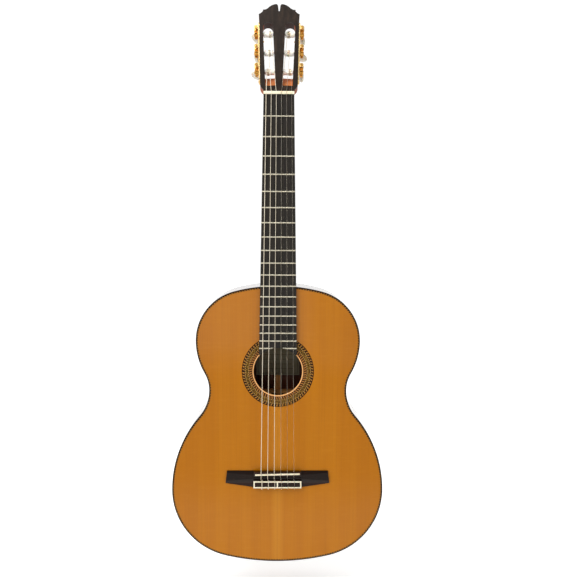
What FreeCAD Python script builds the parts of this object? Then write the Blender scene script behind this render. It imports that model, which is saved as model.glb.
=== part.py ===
import FreeCAD, Part
import math
import os
import Sketcher

# A classical guitar with a slotted head and six worm-geared tuning machines.
# Millimetres. X points to the treble side, Y to the back, Z along the neck to the head.
# The origin is the middle of the nut's front edge, on the plane of the soundboard's face.

Vector = FreeCAD.Vector
X_AXIS = Vector(1, 0, 0)
Y_AXIS = Vector(0, 1, 0)
Z_AXIS = Vector(0, 0, 1)
ORIGIN = Vector(0, 0, 0)
FAR = 400.0                 # reach of a cutting tool past whatever it cuts

doc = FreeCAD.newDocument("ClassicalGuitar")

# ---------------------------------------------------------------- driving dimensions

DIMENSIONS = [
    # strings and fingerboard
    ("scale_length", 650), ("fret_count", 19), ("body_fret", 12),
    ("nut_width", 52), ("nut_thickness", 5), ("nut_lift", 2.5), ("nut_back_lift", 1.1),
    ("neck_width_at_body", 62), ("fingerboard_thickness", 6.5),
    ("fret_height", 1.1), ("fret_crown_width", 2.2), ("fret_tang", 0.6), ("fret_tang_depth", 2),
    ("fret_inset", 0.4),
    ("nut_string_lift", 2.2), ("nut_string_spread", 43), ("bridge_string_spread", 57.5),
    ("string_gap", 0.03),
    # soundbox outline
    ("body_length", 492), ("upper_width", 286), ("waist_width", 240), ("lower_width", 372),
    ("upper_station", 96), ("waist_station", 183), ("lower_station", 362),
    ("shoulder_radius", 89), ("upper_flank_radius", 116),
    ("lower_flank_radius", 203), ("tail_radius", 122.5),
    # soundbox plates and edges
    ("body_depth", 103), ("deepest_station", 300), ("back_radius", 4500),
    ("top_thickness", 2.5), ("back_thickness", 2.5), ("side_thickness", 2),
    ("binding_height", 5), ("purfling_width", 1.8), ("purfling_depth", 1.5),
    ("back_strip_width", 4),
    ("graft_width_front", 14), ("graft_width_back", 22),
    # soundhole and rosette
    ("hole_radius", 42.5), ("hole_station", 149.5), ("rosette_inner_radius", 45.5),
    ("rosette_outer_radius", 63), ("rosette_depth", 1.2),
    # inside the soundbox
    ("lining_width", 6), ("top_lining_height", 15), ("back_lining_height", 12),
    ("inner_gap", 0.5), ("tail_block_width", 70), ("tail_block_thickness", 18),
    ("foot_width", 54), ("foot_length", 46), ("foot_toe", 20), ("tongue_width", 12),
    ("top_bar_width", 6), ("top_bar_height", 15), ("fan_width", 5), ("fan_height", 6),
    ("fan_start", 223), ("fan_length", 216), ("fan_start_spacing", 15), ("fan_end_spacing", 36),
    ("back_bar_width", 6), ("back_bar_height", 13), ("seam_strip_width", 13),
    ("seam_strip_thickness", 2.4), ("label_width", 81), ("label_height", 60),
    ("label_station", 115.5), ("label_thickness", 0.3),
    ("foot_top_step", 8), ("foot_top_rise", 26), ("foot_back_rise", 44), ("foot_back_step", 26),
    ("hole_bar_margin", 16), ("fan_shortening", 8),
    ("strut_length", 84), ("strut_lean", 13), ("strut_spread", 50), ("strut_gap", 14),
    ("back_bar_1", 82), ("back_bar_2", 205), ("back_bar_3", 335),
    # neck and head
    ("neck_depth_at_nut", 15.5), ("neck_depth_at_body", 17.5), ("neck_cheek", 2.5),
    ("heel_cap_thickness", 2.5), ("head_angle", 15), ("head_thickness", 17.5),
    ("veneer_thickness", 3), ("slot_width", 17.5), ("slot_start", 10), ("slot_length", 117.5),
    ("slot_centre", 14.2), ("slot_splay", 2.65), ("ramp_length", 23),
    # bridge
    ("saddle_compensation", 5.5), ("saddle_length", 78), ("saddle_thickness", 2.5),
    ("saddle_skew", 1.9), ("saddle_lift", 3), ("saddle_seat", 5), ("saddle_rounding", 0.9),
    ("bridge_length", 183), ("bridge_lead", 4), ("wing_depth", 22), ("tip_slant", 2.6),
    ("wing_thickness", 4), ("tip_thickness", 3), ("wing_shoulder", 8), ("ridge_depth", 14.5),
    ("wing_front_edge", 1.8), ("wing_front_run", 6), ("wing_back_edge", 1.6), ("belly_lip", 0.5),
    ("saddle_block_height", 9), ("saddle_block_back", 4.5), ("saddle_block_ramp", 3),
    ("tie_block_length", 84), ("tie_block_height", 9.2), ("tie_block_gap", 12.5),
    ("tie_block_depth", 12.5), ("block_rounding", 3),
    ("tie_hole_height", 5.4), ("tie_hole_radius", 1), ("inlay_depth", 1), ("inlay_bar", 2.2),
    ("tie_loop_back", 1.3), ("tie_loop_front", 1), ("tie_tail_aside", 0.4), ("tie_tail_rise", 2.6),
    # tuning machines
    ("first_roller", 39), ("roller_spacing", 35), ("roller_depth", 7), ("roller_radius", 5),
    ("roller_end_gap", 0.6), ("axle_radius", 3), ("axle_gap", 0.06), ("stub_radius", 2),
    ("stub_length", 3),
    ("plate_thickness", 1.8), ("plate_width", 16.4), ("plate_length", 114),
    ("plate_screw_radius", 1.1), ("plate_screw_length", 8), ("plate_screw_head", 2.4),
    ("plate_screw_dome", 0.9), ("plate_screw_edge", 0.6), ("plate_screw_slit", 0.6),
    ("plate_screw_slit_depth", 0.5),
    ("gear_teeth", 14), ("gear_radius", 7.1), ("gear_thickness", 4.5), ("gear_standoff", 1.7),
    ("gear_root_room", 0.25), ("gear_gap_root", 0.62), ("gear_gap_tip", 1.25),
    ("gear_hub_rim", 1.6), ("gear_hub_gap", 0.3), ("gear_bore_share", 0.6),
    ("gear_screw_radius", 3.4), ("gear_screw_height", 1.3), ("gear_slit", 0.8),
    ("gear_slit_depth", 0.7),
    ("worm_radius", 2.9), ("worm_shaft_radius", 1.8), ("thread_height", 0.75),
    ("thread_root", 0.85), ("thread_base", 0.68), ("thread_crest", 0.26), ("thread_bite", 0.3),
    ("worm_cap_rim", 0.7), ("worm_cap_length", 1.2),
    ("lug_thickness", 2), ("lug_half_width", 3.4), ("worm_end_gap", 0.3),
    ("button_start", 27), ("button_length", 19), ("button_width", 21), ("button_thickness", 9.5),
    ("button_hold", 4), ("collar_radius", 3.2), ("collar_length", 2.5),
]

STRING_DIAMETERS = (1.12, 0.92, 0.78, 1.02, 0.82, 0.72)     # string 6 (bass) to string 1
STRING_WRAPS = (3, 3, 3, 4, 4, 4)
WINDING_SHARES = (0.22, 0.45, 0.74)                         # across the slot, from its outer wall
WINDING_GAP = 0.12                                          # from turn to turn, and to the roller
NUT_CROWN = 0.35                                            # the nut's roundness
NUT_CREST_SHARE = 0.6                                       # where it is, in the nut's thickness
NUT_BREAK_SHARE = 0.4                                       # where strings bend, in the nut's thickness
BUTTON_TURNS = (20, 75, 40, 65, 15, 80)                     # rest angle of each button, degrees
THREAD_TURNS = 3
WORM_HALF_TURNS = 1.75                                      # of thread on each side of the gear
# Where the plate's screws are, in roller spacings from the first roller.
PLATE_SCREW_PLACES = (-0.5, 0.62, 1.62, 2.5)
# The button's paddle: share of its length, of its width and of its thickness.
BUTTON_LAYERS = (
    (0.0, 0.42, 0.66), (0.12, 0.72, 0.84), (0.35, 0.97, 1.0), (0.6, 1.0, 0.98),
    (0.85, 0.82, 0.82), (1.0, 0.5, 0.5),
)

sheet = doc.addObject("Spreadsheet::Sheet", "Sizes")
for row, (alias, number) in enumerate(DIMENSIONS, 1):
    sheet.set("A%d" % row, alias)
    sheet.set("B%d" % row, str(number))
    sheet.setAlias("B%d" % row, alias)
doc.recompute()


class Size:
    """A number from the sheet, or worked out from it, with the expression that gives it."""

    def __init__(self, value, text):
        self.value = value
        self.text = text

    def __add__(self, other):
        other = as_size(other)
        return Size(self.value + other.value, "(%s + %s)" % (self.text, other.text))

    def __sub__(self, other):
        other = as_size(other)
        return Size(self.value - other.value, "(%s - %s)" % (self.text, other.text))

    def __mul__(self, other):
        other = as_size(other)
        return Size(self.value * other.value, "(%s * %s)" % (self.text, other.text))

    def __truediv__(self, other):
        other = as_size(other)
        return Size(self.value / other.value, "(%s / %s)" % (self.text, other.text))

    def __pow__(self, other):
        other = as_size(other)
        return Size(self.value ** other.value, "(%s ^ %s)" % (self.text, other.text))

    def __neg__(self):
        return Size(-self.value, "(0 - %s)" % self.text)


def as_size(number):
    if isinstance(number, Size):
        return number
    return Size(float(number), "%g" % number if number >= 0 else "(0 - %g)" % -number)


def size(alias):
    return Size(float(sheet.get(alias)), "Sizes." + alias)


def mm(alias):
    return float(sheet.get(alias))


# ---------------------------------------------------------------- derived places

body_top = -size("scale_length") * (as_size(1) - as_size(2) ** (-size("body_fret") / 12))
tail_end = body_top - size("body_length")
hole_height = body_top - size("hole_station")
nut_half = size("nut_width") / 2
board_slope = (size("neck_width_at_body") - size("nut_width")) / 2 / -body_top
board_end = hole_height + size("hole_radius") * 0.706
fingerboard_face = -size("fingerboard_thickness")
nut_height = size("fingerboard_thickness") + size("nut_lift")
nut_back_height = size("fingerboard_thickness") + size("nut_back_lift")
nut_string_height = size("fingerboard_thickness") + size("nut_string_lift")
# How far the bridge's parts are from the nut, along the strings.
saddle_station = size("scale_length") + size("saddle_compensation")
bridge_front = saddle_station - size("bridge_lead")
wing_ridge = bridge_front + size("ridge_depth")
wing_back = bridge_front + size("wing_depth")
tie_block_front = saddle_station + size("tie_block_gap")
tie_block_back = tie_block_front + size("tie_block_depth")
saddle_height = size("saddle_block_height") + size("saddle_lift")
saddle_top = -saddle_height
back_centre = Vector(0, mm("body_depth") - mm("back_radius"), body_top.value - mm("deepest_station"))
HEAD_TURN = FreeCAD.Rotation(X_AXIS, 90 - mm("head_angle"))
HEAD_FRAME = FreeCAD.Placement(Vector(0, 0, mm("nut_thickness")), HEAD_TURN)

# The head's right edge, from the notch in the crest down to the nut:
# across the head, and along it from the nut's back. A third point makes an arc.
NOTCH_BOTTOM = (0, 148.0)
NOTCH_SIDE = (1.0, 149.2)
NOTCH_LIP = (2.2, 158.8)
CREST_TIP = (6.5, 161.5)
CREST_FLANK = (18.5, 155.0)
CREST_COVE = (24.0, 151.2)
HORN = (28.4, 150.9)
HORN_FOOT = (27.6, 149.2)
SHOULDER = (35.4, 142.5)
SIDE_TOP = (34.55, 131.5)
SIDE_FOOT = (32.1, 14.0)
CORNER_END = (26.4, 3.2)
HEAD_EDGE = (
    (NOTCH_BOTTOM, NOTCH_SIDE, (0.72, 148.35)),
    (NOTCH_SIDE, NOTCH_LIP, None),
    (NOTCH_LIP, CREST_TIP, (3.7, 161.0)),
    (CREST_TIP, CREST_FLANK, (12.8, 159.3)),
    (CREST_FLANK, CREST_COVE, (21.0, 152.8)),
    (CREST_COVE, HORN, None),
    (HORN, HORN_FOOT, None),
    (HORN_FOOT, SHOULDER, (31.0, 145.2)),
    (SHOULDER, SIDE_TOP, (34.87, 137.0)),
    (SIDE_TOP, SIDE_FOOT, None),
    (SIDE_FOOT, CORNER_END, (30.3, 7.3)),
)
SIDE_LEAN = math.atan2(SIDE_TOP[0] - SIDE_FOOT[0], SIDE_TOP[1] - SIDE_FOOT[1])

# The heel in layers from its cap to the fingerboard: share of the heel's depth,
# half width at the body, and reach along the neck.
HEEL_LAYERS = (
    (1.0, 11.0, 20.0), (0.82, 12.2, 18.5), (0.64, 14.2, 20.0), (0.46, 17.6, 25.0),
    (0.34, 21.3, 34.0), (0.25, 25.0, 46.0), (0.17, 28.3, 62.0), (0.10, 30.2, 76.0), (0.0, 31.0, 84.0),
)


# ---------------------------------------------------------------- shape helpers

def add_part(label, shape):
    """A sub-part whose shape is set directly."""
    part = doc.addObject("Part::Feature", label)
    part.Label = label
    part.Shape = shape
    return part


def arc(centre, radius, start, end):
    """The shorter arc between two points on a circle."""
    middle = ((start - centre) + (end - centre)).normalize() * radius + centre
    return Part.Arc(start, middle, end).toShape()


def extrude(wire, travel):
    return Part.Face(wire).extrude(travel)


def polygon_face(points):
    return Part.Face(Part.makePolygon(points + [points[0]]))


def box(low, high):
    return Part.makeBox(high.x - low.x, high.y - low.y, high.z - low.z, low)


def solid_of(shape):
    """The one solid of a boolean's result."""
    return shape.removeSplitter().Solids[0]


# ---------------------------------------------------------------- soundbox outline

def outline_arcs():
    """The right half's arcs from top to tail: centre, radius, and +1 where it bulges outwards."""
    top = body_top.value
    tail = tail_end.value
    half_upper = mm("upper_width") / 2
    half_waist = mm("waist_width") / 2
    half_lower = mm("lower_width") / 2
    upper = top - mm("upper_station")
    waist = top - mm("waist_station")
    lower = top - mm("lower_station")
    shoulder = mm("shoulder_radius")
    upper_flank = mm("upper_flank_radius")
    lower_flank = mm("lower_flank_radius")
    tail_corner = mm("tail_radius")

    rise = upper - top
    run = half_upper - shoulder
    top_radius = (shoulder ** 2 - run ** 2 - rise ** 2) / (2 * (rise + shoulder))
    rise = lower - tail
    run = half_lower - tail_corner
    tail_arc = (run ** 2 + rise ** 2 - tail_corner ** 2) / (2 * (rise - tail_corner))
    width = half_upper - half_waist
    waist_upper = ((upper - waist) ** 2 + width ** 2) / (2 * width) - upper_flank
    width = half_lower - half_waist
    waist_lower = ((waist - lower) ** 2 + width ** 2) / (2 * width) - lower_flank

    return (
        (Vector(0, 0, top - top_radius), top_radius, 1),
        (Vector(half_upper - shoulder, 0, upper), shoulder, 1),
        (Vector(half_upper - upper_flank, 0, upper), upper_flank, 1),
        (Vector(half_waist + waist_upper, 0, waist), waist_upper, -1),
        (Vector(half_waist + waist_lower, 0, waist), waist_lower, -1),
        (Vector(half_lower - lower_flank, 0, lower), lower_flank, 1),
        (Vector(half_lower - tail_corner, 0, lower), tail_corner, 1),
        (Vector(0, 0, tail + tail_arc), tail_arc, 1),
    )


def tangent_point(first, second):
    """Where two tangent arcs meet."""
    centre_1, radius_1, bulge_1 = first
    centre_2, radius_2, bulge_2 = second
    if bulge_1 != bulge_2:
        return centre_1 + (centre_2 - centre_1).normalize() * radius_1
    if radius_1 > radius_2:
        return centre_1 + (centre_2 - centre_1).normalize() * radius_1
    return centre_2 + (centre_1 - centre_2).normalize() * radius_2


def outline_wire(inset):
    """The soundbox's outline, moved inwards by inset."""
    arcs = outline_arcs()
    joints = [Vector(0, 0, body_top.value)]
    joints += [tangent_point(arcs[i], arcs[i + 1]) for i in range(len(arcs) - 1)]
    joints += [Vector(0, 0, tail_end.value)]
    right = []
    for (centre, radius, bulge), start, end in zip(arcs, joints, joints[1:]):
        inner = radius - inset * bulge
        first = centre + (start - centre).normalize() * inner
        last = centre + (end - centre).normalize() * inner
        right.append(arc(centre, inner, first, last))
    left = [edge.mirror(ORIGIN, X_AXIS) for edge in right]
    return Part.Wire(Part.__sortEdges__(right + left))


def outline_prism(inset, front, back):
    prism = extrude(outline_wire(inset), Vector(0, back - front, 0))
    prism.translate(Vector(0, front, 0))
    return prism


def ring(outer_inset, inner_inset, front, back):
    outer = outline_prism(outer_inset, front, back)
    return outer.cut(outline_prism(inner_inset, front, back))


def under_back(depth):
    """Everything in front of the arched back's outer face, less depth."""
    return Part.makeSphere(mm("back_radius") - depth, back_centre)


EDGE = mm("side_thickness")
BACK_LIMIT = mm("body_depth") + 5
FRONT_OF_BACK = mm("body_depth") - 30
PLATE_FACE = mm("top_thickness")
LINING_INSET = EDGE + mm("lining_width")


def tongue():
    """The heel's tongue, which passes between the two sides into the box."""
    half = mm("tongue_width") / 2
    top = body_top.value
    zone = box(Vector(-half, 0, top - 2 * EDGE), Vector(half, BACK_LIMIT, top + EDGE))
    return ring(0, EDGE, 0, BACK_LIMIT).common(zone).common(under_back(mm("binding_height")))


def graft_wedge():
    front = mm("graft_width_front") / 2
    back = mm("graft_width_back") / 2
    start = mm("binding_height")
    low = tail_end.value - 1
    points = [Vector(-front, start, low), Vector(front, start, low)]
    points += [Vector(back, BACK_LIMIT, low), Vector(-back, BACK_LIMIT, low)]
    return polygon_face(points).extrude(Vector(0, 0, 30))


# ---------------------------------------------------------------- soundbox shell

def make_soundboard():
    board = outline_prism(EDGE, 0, PLATE_FACE)
    groove_end = EDGE + mm("purfling_width")
    board = board.cut(ring(EDGE, groove_end, 0, mm("purfling_depth")))
    centre = Vector(0, 0, hole_height.value)
    hole = Part.makeCylinder(mm("hole_radius"), PLATE_FACE, centre, Y_AXIS)
    return add_part("soundboard", board.cut([hole, rosette_ring()]))


def rosette_ring():
    centre = Vector(0, 0, hole_height.value)
    outer = Part.makeCylinder(mm("rosette_outer_radius"), mm("rosette_depth"), centre, Y_AXIS)
    inner = Part.makeCylinder(mm("rosette_inner_radius"), mm("rosette_depth"), centre, Y_AXIS)
    return outer.cut(inner)


def make_rosette():
    """Part primitives: an outer disc less an inner one."""
    discs = []
    for name, alias in (("RosetteDisc", "rosette_outer_radius"), ("RosetteCore", "rosette_inner_radius")):
        disc = doc.addObject("Part::Cylinder", name)
        disc.Placement = FreeCAD.Placement(ORIGIN, FreeCAD.Rotation(X_AXIS, -90))
        bind(disc, "Radius", size(alias))
        bind(disc, "Height", size("rosette_depth"))
        bind(disc, "Placement.Base.z", hole_height)
        discs.append(disc)
    rosette = doc.addObject("Part::Cut", "rosette")
    rosette.Label = "rosette"
    rosette.Base = discs[0]
    rosette.Tool = discs[1]
    return rosette


def make_back():
    shell = outline_prism(EDGE, FRONT_OF_BACK, BACK_LIMIT).common(under_back(0))
    shell = shell.cut(under_back(mm("back_thickness")))
    half = mm("back_strip_width") / 2
    strip_zone = box(Vector(-half, 0, tail_end.value), Vector(half, BACK_LIMIT, 0))
    bass_zone = box(Vector(-FAR, 0, tail_end.value - 1), Vector(-half, BACK_LIMIT, 0))
    treble_zone = box(Vector(half, 0, tail_end.value - 1), Vector(FAR, BACK_LIMIT, 0))
    return [
        add_part("back_bass", shell.common(bass_zone)),
        add_part("back_treble", shell.common(treble_zone)),
        add_part("back_strip", shell.common(strip_zone)),
    ]


def make_sides():
    shell = ring(0, EDGE, mm("binding_height"), BACK_LIMIT).common(under_back(mm("binding_height")))
    shell = shell.cut([tongue(), graft_wedge()])
    bass_zone = box(Vector(-FAR, 0, tail_end.value - 1), Vector(0, BACK_LIMIT, 0))
    treble_zone = box(Vector(0, 0, tail_end.value - 1), Vector(FAR, BACK_LIMIT, 0))
    return [
        add_part("side_bass", shell.common(bass_zone)),
        add_part("side_treble", shell.common(treble_zone)),
    ]


def make_edges():
    top_binding = ring(0, EDGE, 0, mm("binding_height")).cut(tongue())
    purfling = ring(EDGE, EDGE + mm("purfling_width"), 0, mm("purfling_depth"))
    back_binding = ring(0, EDGE, FRONT_OF_BACK, BACK_LIMIT).common(under_back(0))
    back_binding = back_binding.cut(under_back(mm("binding_height")))
    graft = ring(0, EDGE, mm("binding_height"), BACK_LIMIT).common(under_back(mm("binding_height")))
    return [
        add_part("top_binding", top_binding),
        add_part("top_purfling", purfling),
        add_part("back_binding", back_binding),
        add_part("end_graft", graft.common(graft_wedge())),
    ]


# ---------------------------------------------------------------- inside the soundbox

def foot_block():
    """The heel's foot inside the box, with a toe along the top and the back."""
    top = body_top.value - EDGE
    toe = top - mm("foot_length")
    heel = toe + mm("foot_toe")
    deep = BACK_LIMIT
    points = [
        Vector(0, PLATE_FACE, top), Vector(0, PLATE_FACE, toe),
        Vector(0, PLATE_FACE + mm("foot_top_step"), toe),
        Vector(0, PLATE_FACE + mm("foot_top_rise"), heel),
        Vector(0, deep - mm("foot_back_rise"), heel),
        Vector(0, deep - mm("foot_back_step"), toe),
        Vector(0, deep, toe), Vector(0, deep, top),
    ]
    half = mm("foot_width") / 2
    foot = polygon_face(points).extrude(Vector(2 * half, 0, 0))
    foot.translate(Vector(-half, 0, 0))
    foot = foot.common(outline_prism(EDGE, 0, BACK_LIMIT))
    return foot.common(under_back(mm("back_thickness")))


def tail_block_shape():
    half = mm("tail_block_width") / 2
    low = tail_end.value
    high = low + EDGE + mm("tail_block_thickness")
    block = box(Vector(-half, PLATE_FACE, low), Vector(half, BACK_LIMIT, high))
    block = block.common(outline_prism(EDGE, 0, BACK_LIMIT))
    return block.common(under_back(mm("back_thickness")))


def make_linings():
    blocks = [foot_block(), tail_block_shape()]
    top_end = PLATE_FACE + mm("top_lining_height")
    top_lining = ring(EDGE, LINING_INSET, PLATE_FACE, top_end).cut(blocks)
    inner_face = mm("back_thickness")
    back_lining = ring(EDGE, LINING_INSET, FRONT_OF_BACK, BACK_LIMIT).common(under_back(inner_face))
    back_lining = back_lining.cut(under_back(inner_face + mm("back_lining_height"))).cut(blocks)
    return add_part("linings", Part.makeCompound(top_lining.Solids + back_lining.Solids))


def turned_box(middle, length, width, front, back, degrees):
    """A bar along X at middle, turned about Y."""
    bar = box(Vector(-length / 2, front, -width / 2), Vector(length / 2, back, width / 2))
    bar.rotate(ORIGIN, Y_AXIS, degrees)
    bar.translate(middle)
    return bar


def make_soundboard_braces():
    room = outline_prism(LINING_INSET + mm("inner_gap"), PLATE_FACE, FRONT_OF_BACK)
    bar_back = PLATE_FACE + mm("top_bar_height")
    bars = []
    reach = mm("hole_radius") + mm("hole_bar_margin")
    for offset in (reach, -reach):
        middle = Vector(0, 0, hole_height.value + offset)
        bars.append(turned_box(middle, 2 * FAR, mm("top_bar_width"), PLATE_FACE, bar_back, 0))

    fan_back = PLATE_FACE + mm("fan_height")
    start = body_top.value - mm("fan_start")
    for place in range(-3, 4):
        spread = mm("fan_end_spacing") - mm("fan_start_spacing")
        length = mm("fan_length") - mm("fan_shortening") * abs(place)
        lean = math.degrees(math.atan2(place * spread, mm("fan_length")))
        across = place * (mm("fan_start_spacing") + spread * length / mm("fan_length") / 2)
        middle = Vector(across, 0, start - length / 2)
        bars.append(turned_box(middle, length, mm("fan_width"), PLATE_FACE, fan_back, 90 - lean))

    strut_height = start - mm("fan_length") - mm("strut_gap")
    for side in (-1, 1):
        middle = Vector(side * mm("strut_spread"), 0, strut_height)
        lean = -side * mm("strut_lean")
        strut = turned_box(middle, mm("strut_length"), mm("fan_width"), PLATE_FACE, fan_back, lean)
        bars.append(strut)
    solids = [bar.common(room).Solids[0] for bar in bars]
    return add_part("soundboard_braces", Part.makeCompound(solids))


def back_bar_boxes():
    half = mm("back_bar_width") / 2
    boxes = []
    for alias in ("back_bar_1", "back_bar_2", "back_bar_3"):
        height = body_top.value - mm(alias)
        boxes.append(box(Vector(-FAR, 0, height - half), Vector(FAR, BACK_LIMIT, height + half)))
    return boxes


def make_back_braces():
    room = outline_prism(LINING_INSET + mm("inner_gap"), FRONT_OF_BACK, BACK_LIMIT)
    room = room.common(under_back(mm("back_thickness")))
    room = room.cut(under_back(mm("back_thickness") + mm("back_bar_height")))
    solids = [room.common(bar).Solids[0] for bar in back_bar_boxes()]
    return add_part("back_braces", Part.makeCompound(solids))


def label_zone():
    half = mm("label_width") / 2
    top = body_top.value - mm("label_station")
    return box(Vector(-half, FRONT_OF_BACK, top - mm("label_height")), Vector(half, BACK_LIMIT, top))


def make_seam_strip():
    half = mm("seam_strip_width") / 2
    low = tail_end.value + EDGE + mm("tail_block_thickness")
    high = body_top.value - EDGE - mm("foot_length")
    strip = box(Vector(-half, FRONT_OF_BACK, low), Vector(half, BACK_LIMIT, high))
    strip = strip.common(under_back(mm("back_thickness")))
    strip = strip.cut(under_back(mm("back_thickness") + mm("seam_strip_thickness")))
    strip = strip.cut(back_bar_boxes() + [label_zone()])
    return add_part("back_seam_strip", Part.makeCompound(strip.Solids))


def make_label():
    paper = label_zone().common(under_back(mm("back_thickness")))
    paper = paper.cut(under_back(mm("back_thickness") + mm("label_thickness")))
    return add_part("label", paper)


# ---------------------------------------------------------------- neck and head

def heel_end():
    """Depth of the heel's wood at the body, under its cap."""
    run = mm("deepest_station")
    radius = mm("back_radius")
    face = back_centre.y + math.sqrt(radius ** 2 - run ** 2)
    return face - mm("heel_cap_thickness")


def half_ellipse(half_width, reach, depth, base):
    """A heel layer: flat at the body, rounded along the neck."""
    left = Vector(-half_width, depth, base)
    right = Vector(half_width, depth, base)
    if reach > half_width:
        ellipse = Part.Ellipse(Vector(0, depth, base + reach), right, Vector(0, depth, base))
    else:
        ellipse = Part.Ellipse(right, Vector(0, depth, base + reach), Vector(0, depth, base))
    start = ellipse.parameter(right)
    end = ellipse.parameter(left)
    half = Part.ArcOfEllipse(ellipse, min(start, end), max(start, end)).toShape()
    if half.valueAt((half.FirstParameter + half.LastParameter) / 2).z < base:
        half = Part.ArcOfEllipse(ellipse, max(start, end), min(start, end) + 2 * math.pi).toShape()
    return Part.Wire([half, Part.makeLine(half.lastVertex().Point, half.firstVertex().Point)])


def heel_base():
    return body_top.value - EDGE - 1


def heel_shape():
    layers = []
    for share, half_width, reach in HEEL_LAYERS:
        full_reach = reach + body_top.value - heel_base()
        layers.append(half_ellipse(half_width, full_reach, share * heel_end(), heel_base()))
    return Part.makeLoft(layers, True, False)


def neck_section(half_width, depth, height):
    """The neck's round back under a flat face."""
    cheek = mm("neck_cheek")
    left = Vector(-half_width, 0, height)
    right = Vector(half_width, 0, height)
    left_cheek = Vector(-half_width, cheek, height)
    right_cheek = Vector(half_width, cheek, height)
    ellipse = Part.Ellipse(right_cheek, Vector(0, depth, height), Vector(0, cheek, height))
    start = ellipse.parameter(right_cheek)
    bottom = ellipse.parameter(Vector(0, depth, height))
    back = Part.ArcOfEllipse(ellipse, start, start + math.pi).toShape()
    if abs(bottom - start - math.pi / 2) > 0.01:
        back = Part.ArcOfEllipse(ellipse, start + math.pi, start + 2 * math.pi).toShape()
    edges = [Part.makeLine(left, right), Part.makeLine(right, right_cheek), back]
    edges.append(Part.makeLine(left_cheek, left))
    return Part.Wire(Part.__sortEdges__(edges))


def shaft_shape():
    top = mm("nut_thickness")
    low = heel_base()
    spread = board_slope.value
    at_nut = neck_section(nut_half.value, mm("neck_depth_at_nut"), 0)
    half_low = nut_half.value - spread * low
    at_body = neck_section(half_low, mm("neck_depth_at_body"), low)
    nut_end = neck_section(nut_half.value, mm("neck_depth_at_nut"), top)
    shaft = Part.makeLoft([at_nut, at_body], True, True)
    return shaft.fuse(Part.makeLoft([nut_end, at_nut], True, True))


def behind_scarf():
    """What is behind the scarf joint, which starts under the nut's back edge and ends behind the neck."""
    run = 2 * mm("neck_depth_at_body") / math.sin(math.radians(mm("head_angle")))
    half = Part.makeBox(2 * FAR, FAR + run, FAR, Vector(-FAR, -FAR, 0))
    lean = FreeCAD.Rotation(X_AXIS, -(90 - mm("head_angle")))
    half.Placement = FreeCAD.Placement(Vector(0, 0, mm("nut_thickness")), lean)
    return half


def heel_cap_shape():
    start = heel_end()
    width = HEEL_LAYERS[0][1]
    reach = HEEL_LAYERS[0][2] + body_top.value - heel_base()
    cap = extrude(half_ellipse(width, reach, start, heel_base()), Vector(0, mm("heel_cap_thickness"), 0))
    return cap.cut(outline_prism(0, 0, BACK_LIMIT))


def make_neck():
    outside = shaft_shape().fuse(heel_shape()).cut(outline_prism(0, 0, BACK_LIMIT + 5))
    neck = outside.fuse([tongue(), foot_block()])
    return add_part("neck", solid_of(neck.cut(behind_scarf())))


def head_point(place, side):
    return Vector(side * place[0], place[1], 0)


def head_outline():
    """The head's face in its own frame: X across, Y up along the head."""
    edges = []
    for side in (1, -1):
        for start, end, middle in HEAD_EDGE:
            first = head_point(start, side)
            last = head_point(end, side)
            if middle:
                edges.append(Part.Arc(first, head_point(middle, side), last).toShape())
            else:
                edges.append(Part.makeLine(first, last))
    foot = -mm("slot_start")
    for side in (1, -1):
        edge = Vector(side * nut_half.value, foot, 0)
        edges.append(Part.makeLine(head_point(CORNER_END, side), edge))
    edges.append(Part.makeLine(Vector(-nut_half.value, foot, 0), Vector(nut_half.value, foot, 0)))
    return Part.Wire(Part.__sortEdges__(edges))


def slot_shape(side, with_ramp):
    """One string slot, with the ramp of wood left at its nut end."""
    width = mm("slot_width")
    length = mm("slot_length")
    low = -mm("head_thickness") - 1
    high = mm("veneer_thickness") + 1
    straight = length - width / 2
    slot = Part.makeBox(width, straight, high - low, Vector(-width / 2, 0, low))
    slot = slot.fuse(Part.makeCylinder(width / 2, high - low, Vector(0, straight, low)))
    if with_ramp:
        foot = mm("ramp_length") * (mm("head_thickness") + 1) / mm("head_thickness")
        points = [Vector(-width, 0, 0), Vector(-width, 0, low), Vector(-width, foot, low)]
        slot = slot.cut(polygon_face(points).extrude(Vector(2 * width, 0, 0)))
    turn = FreeCAD.Rotation(Z_AXIS, -side * mm("slot_splay"))
    slot.Placement = FreeCAD.Placement(Vector(side * mm("slot_centre"), mm("slot_start"), 0), turn)
    return slot


def in_head_frame(shape):
    shape.Placement = HEAD_FRAME.multiply(shape.Placement)
    return shape


def head_tools():
    """What is bored in the head for the machines: axle holes and plate screw holes."""
    tools = []
    for side in (-1, 1):
        for place in range(3):
            bore = mm("axle_radius") + mm("axle_gap")
            axle = Part.makeCylinder(bore, cheek_depth(place) + 2, Vector(1, 0, 0), -X_AXIS)
            stub_bore = mm("stub_radius") + mm("axle_gap")
            start = -cheek_depth(place) - mm("slot_width") + 1
            reach = mm("stub_length") + 1 + mm("axle_gap")
            stub = Part.makeCylinder(stub_bore, reach, Vector(start, 0, 0), -X_AXIS)
            hole = Part.makeCompound([axle, stub])
            hole.Placement = machine_frame(side, place)
            tools += hole.Solids
        for screw in plate_screws(side):
            tools.append(screw)
    return tools


def make_head():
    plate = extrude(head_outline(), Vector(0, 0, -mm("head_thickness")))
    plate = in_head_frame(plate.cut([slot_shape(-1, True), slot_shape(1, True)]))
    below = box(Vector(-FAR, -FAR, -FAR), Vector(FAR, FAR, mm("nut_thickness")))
    plate = plate.common(behind_scarf())
    wedge = shaft_shape().common(behind_scarf())
    head = plate.fuse(wedge.common(below))
    return add_part("head", solid_of(head.cut(head_tools())))


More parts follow.
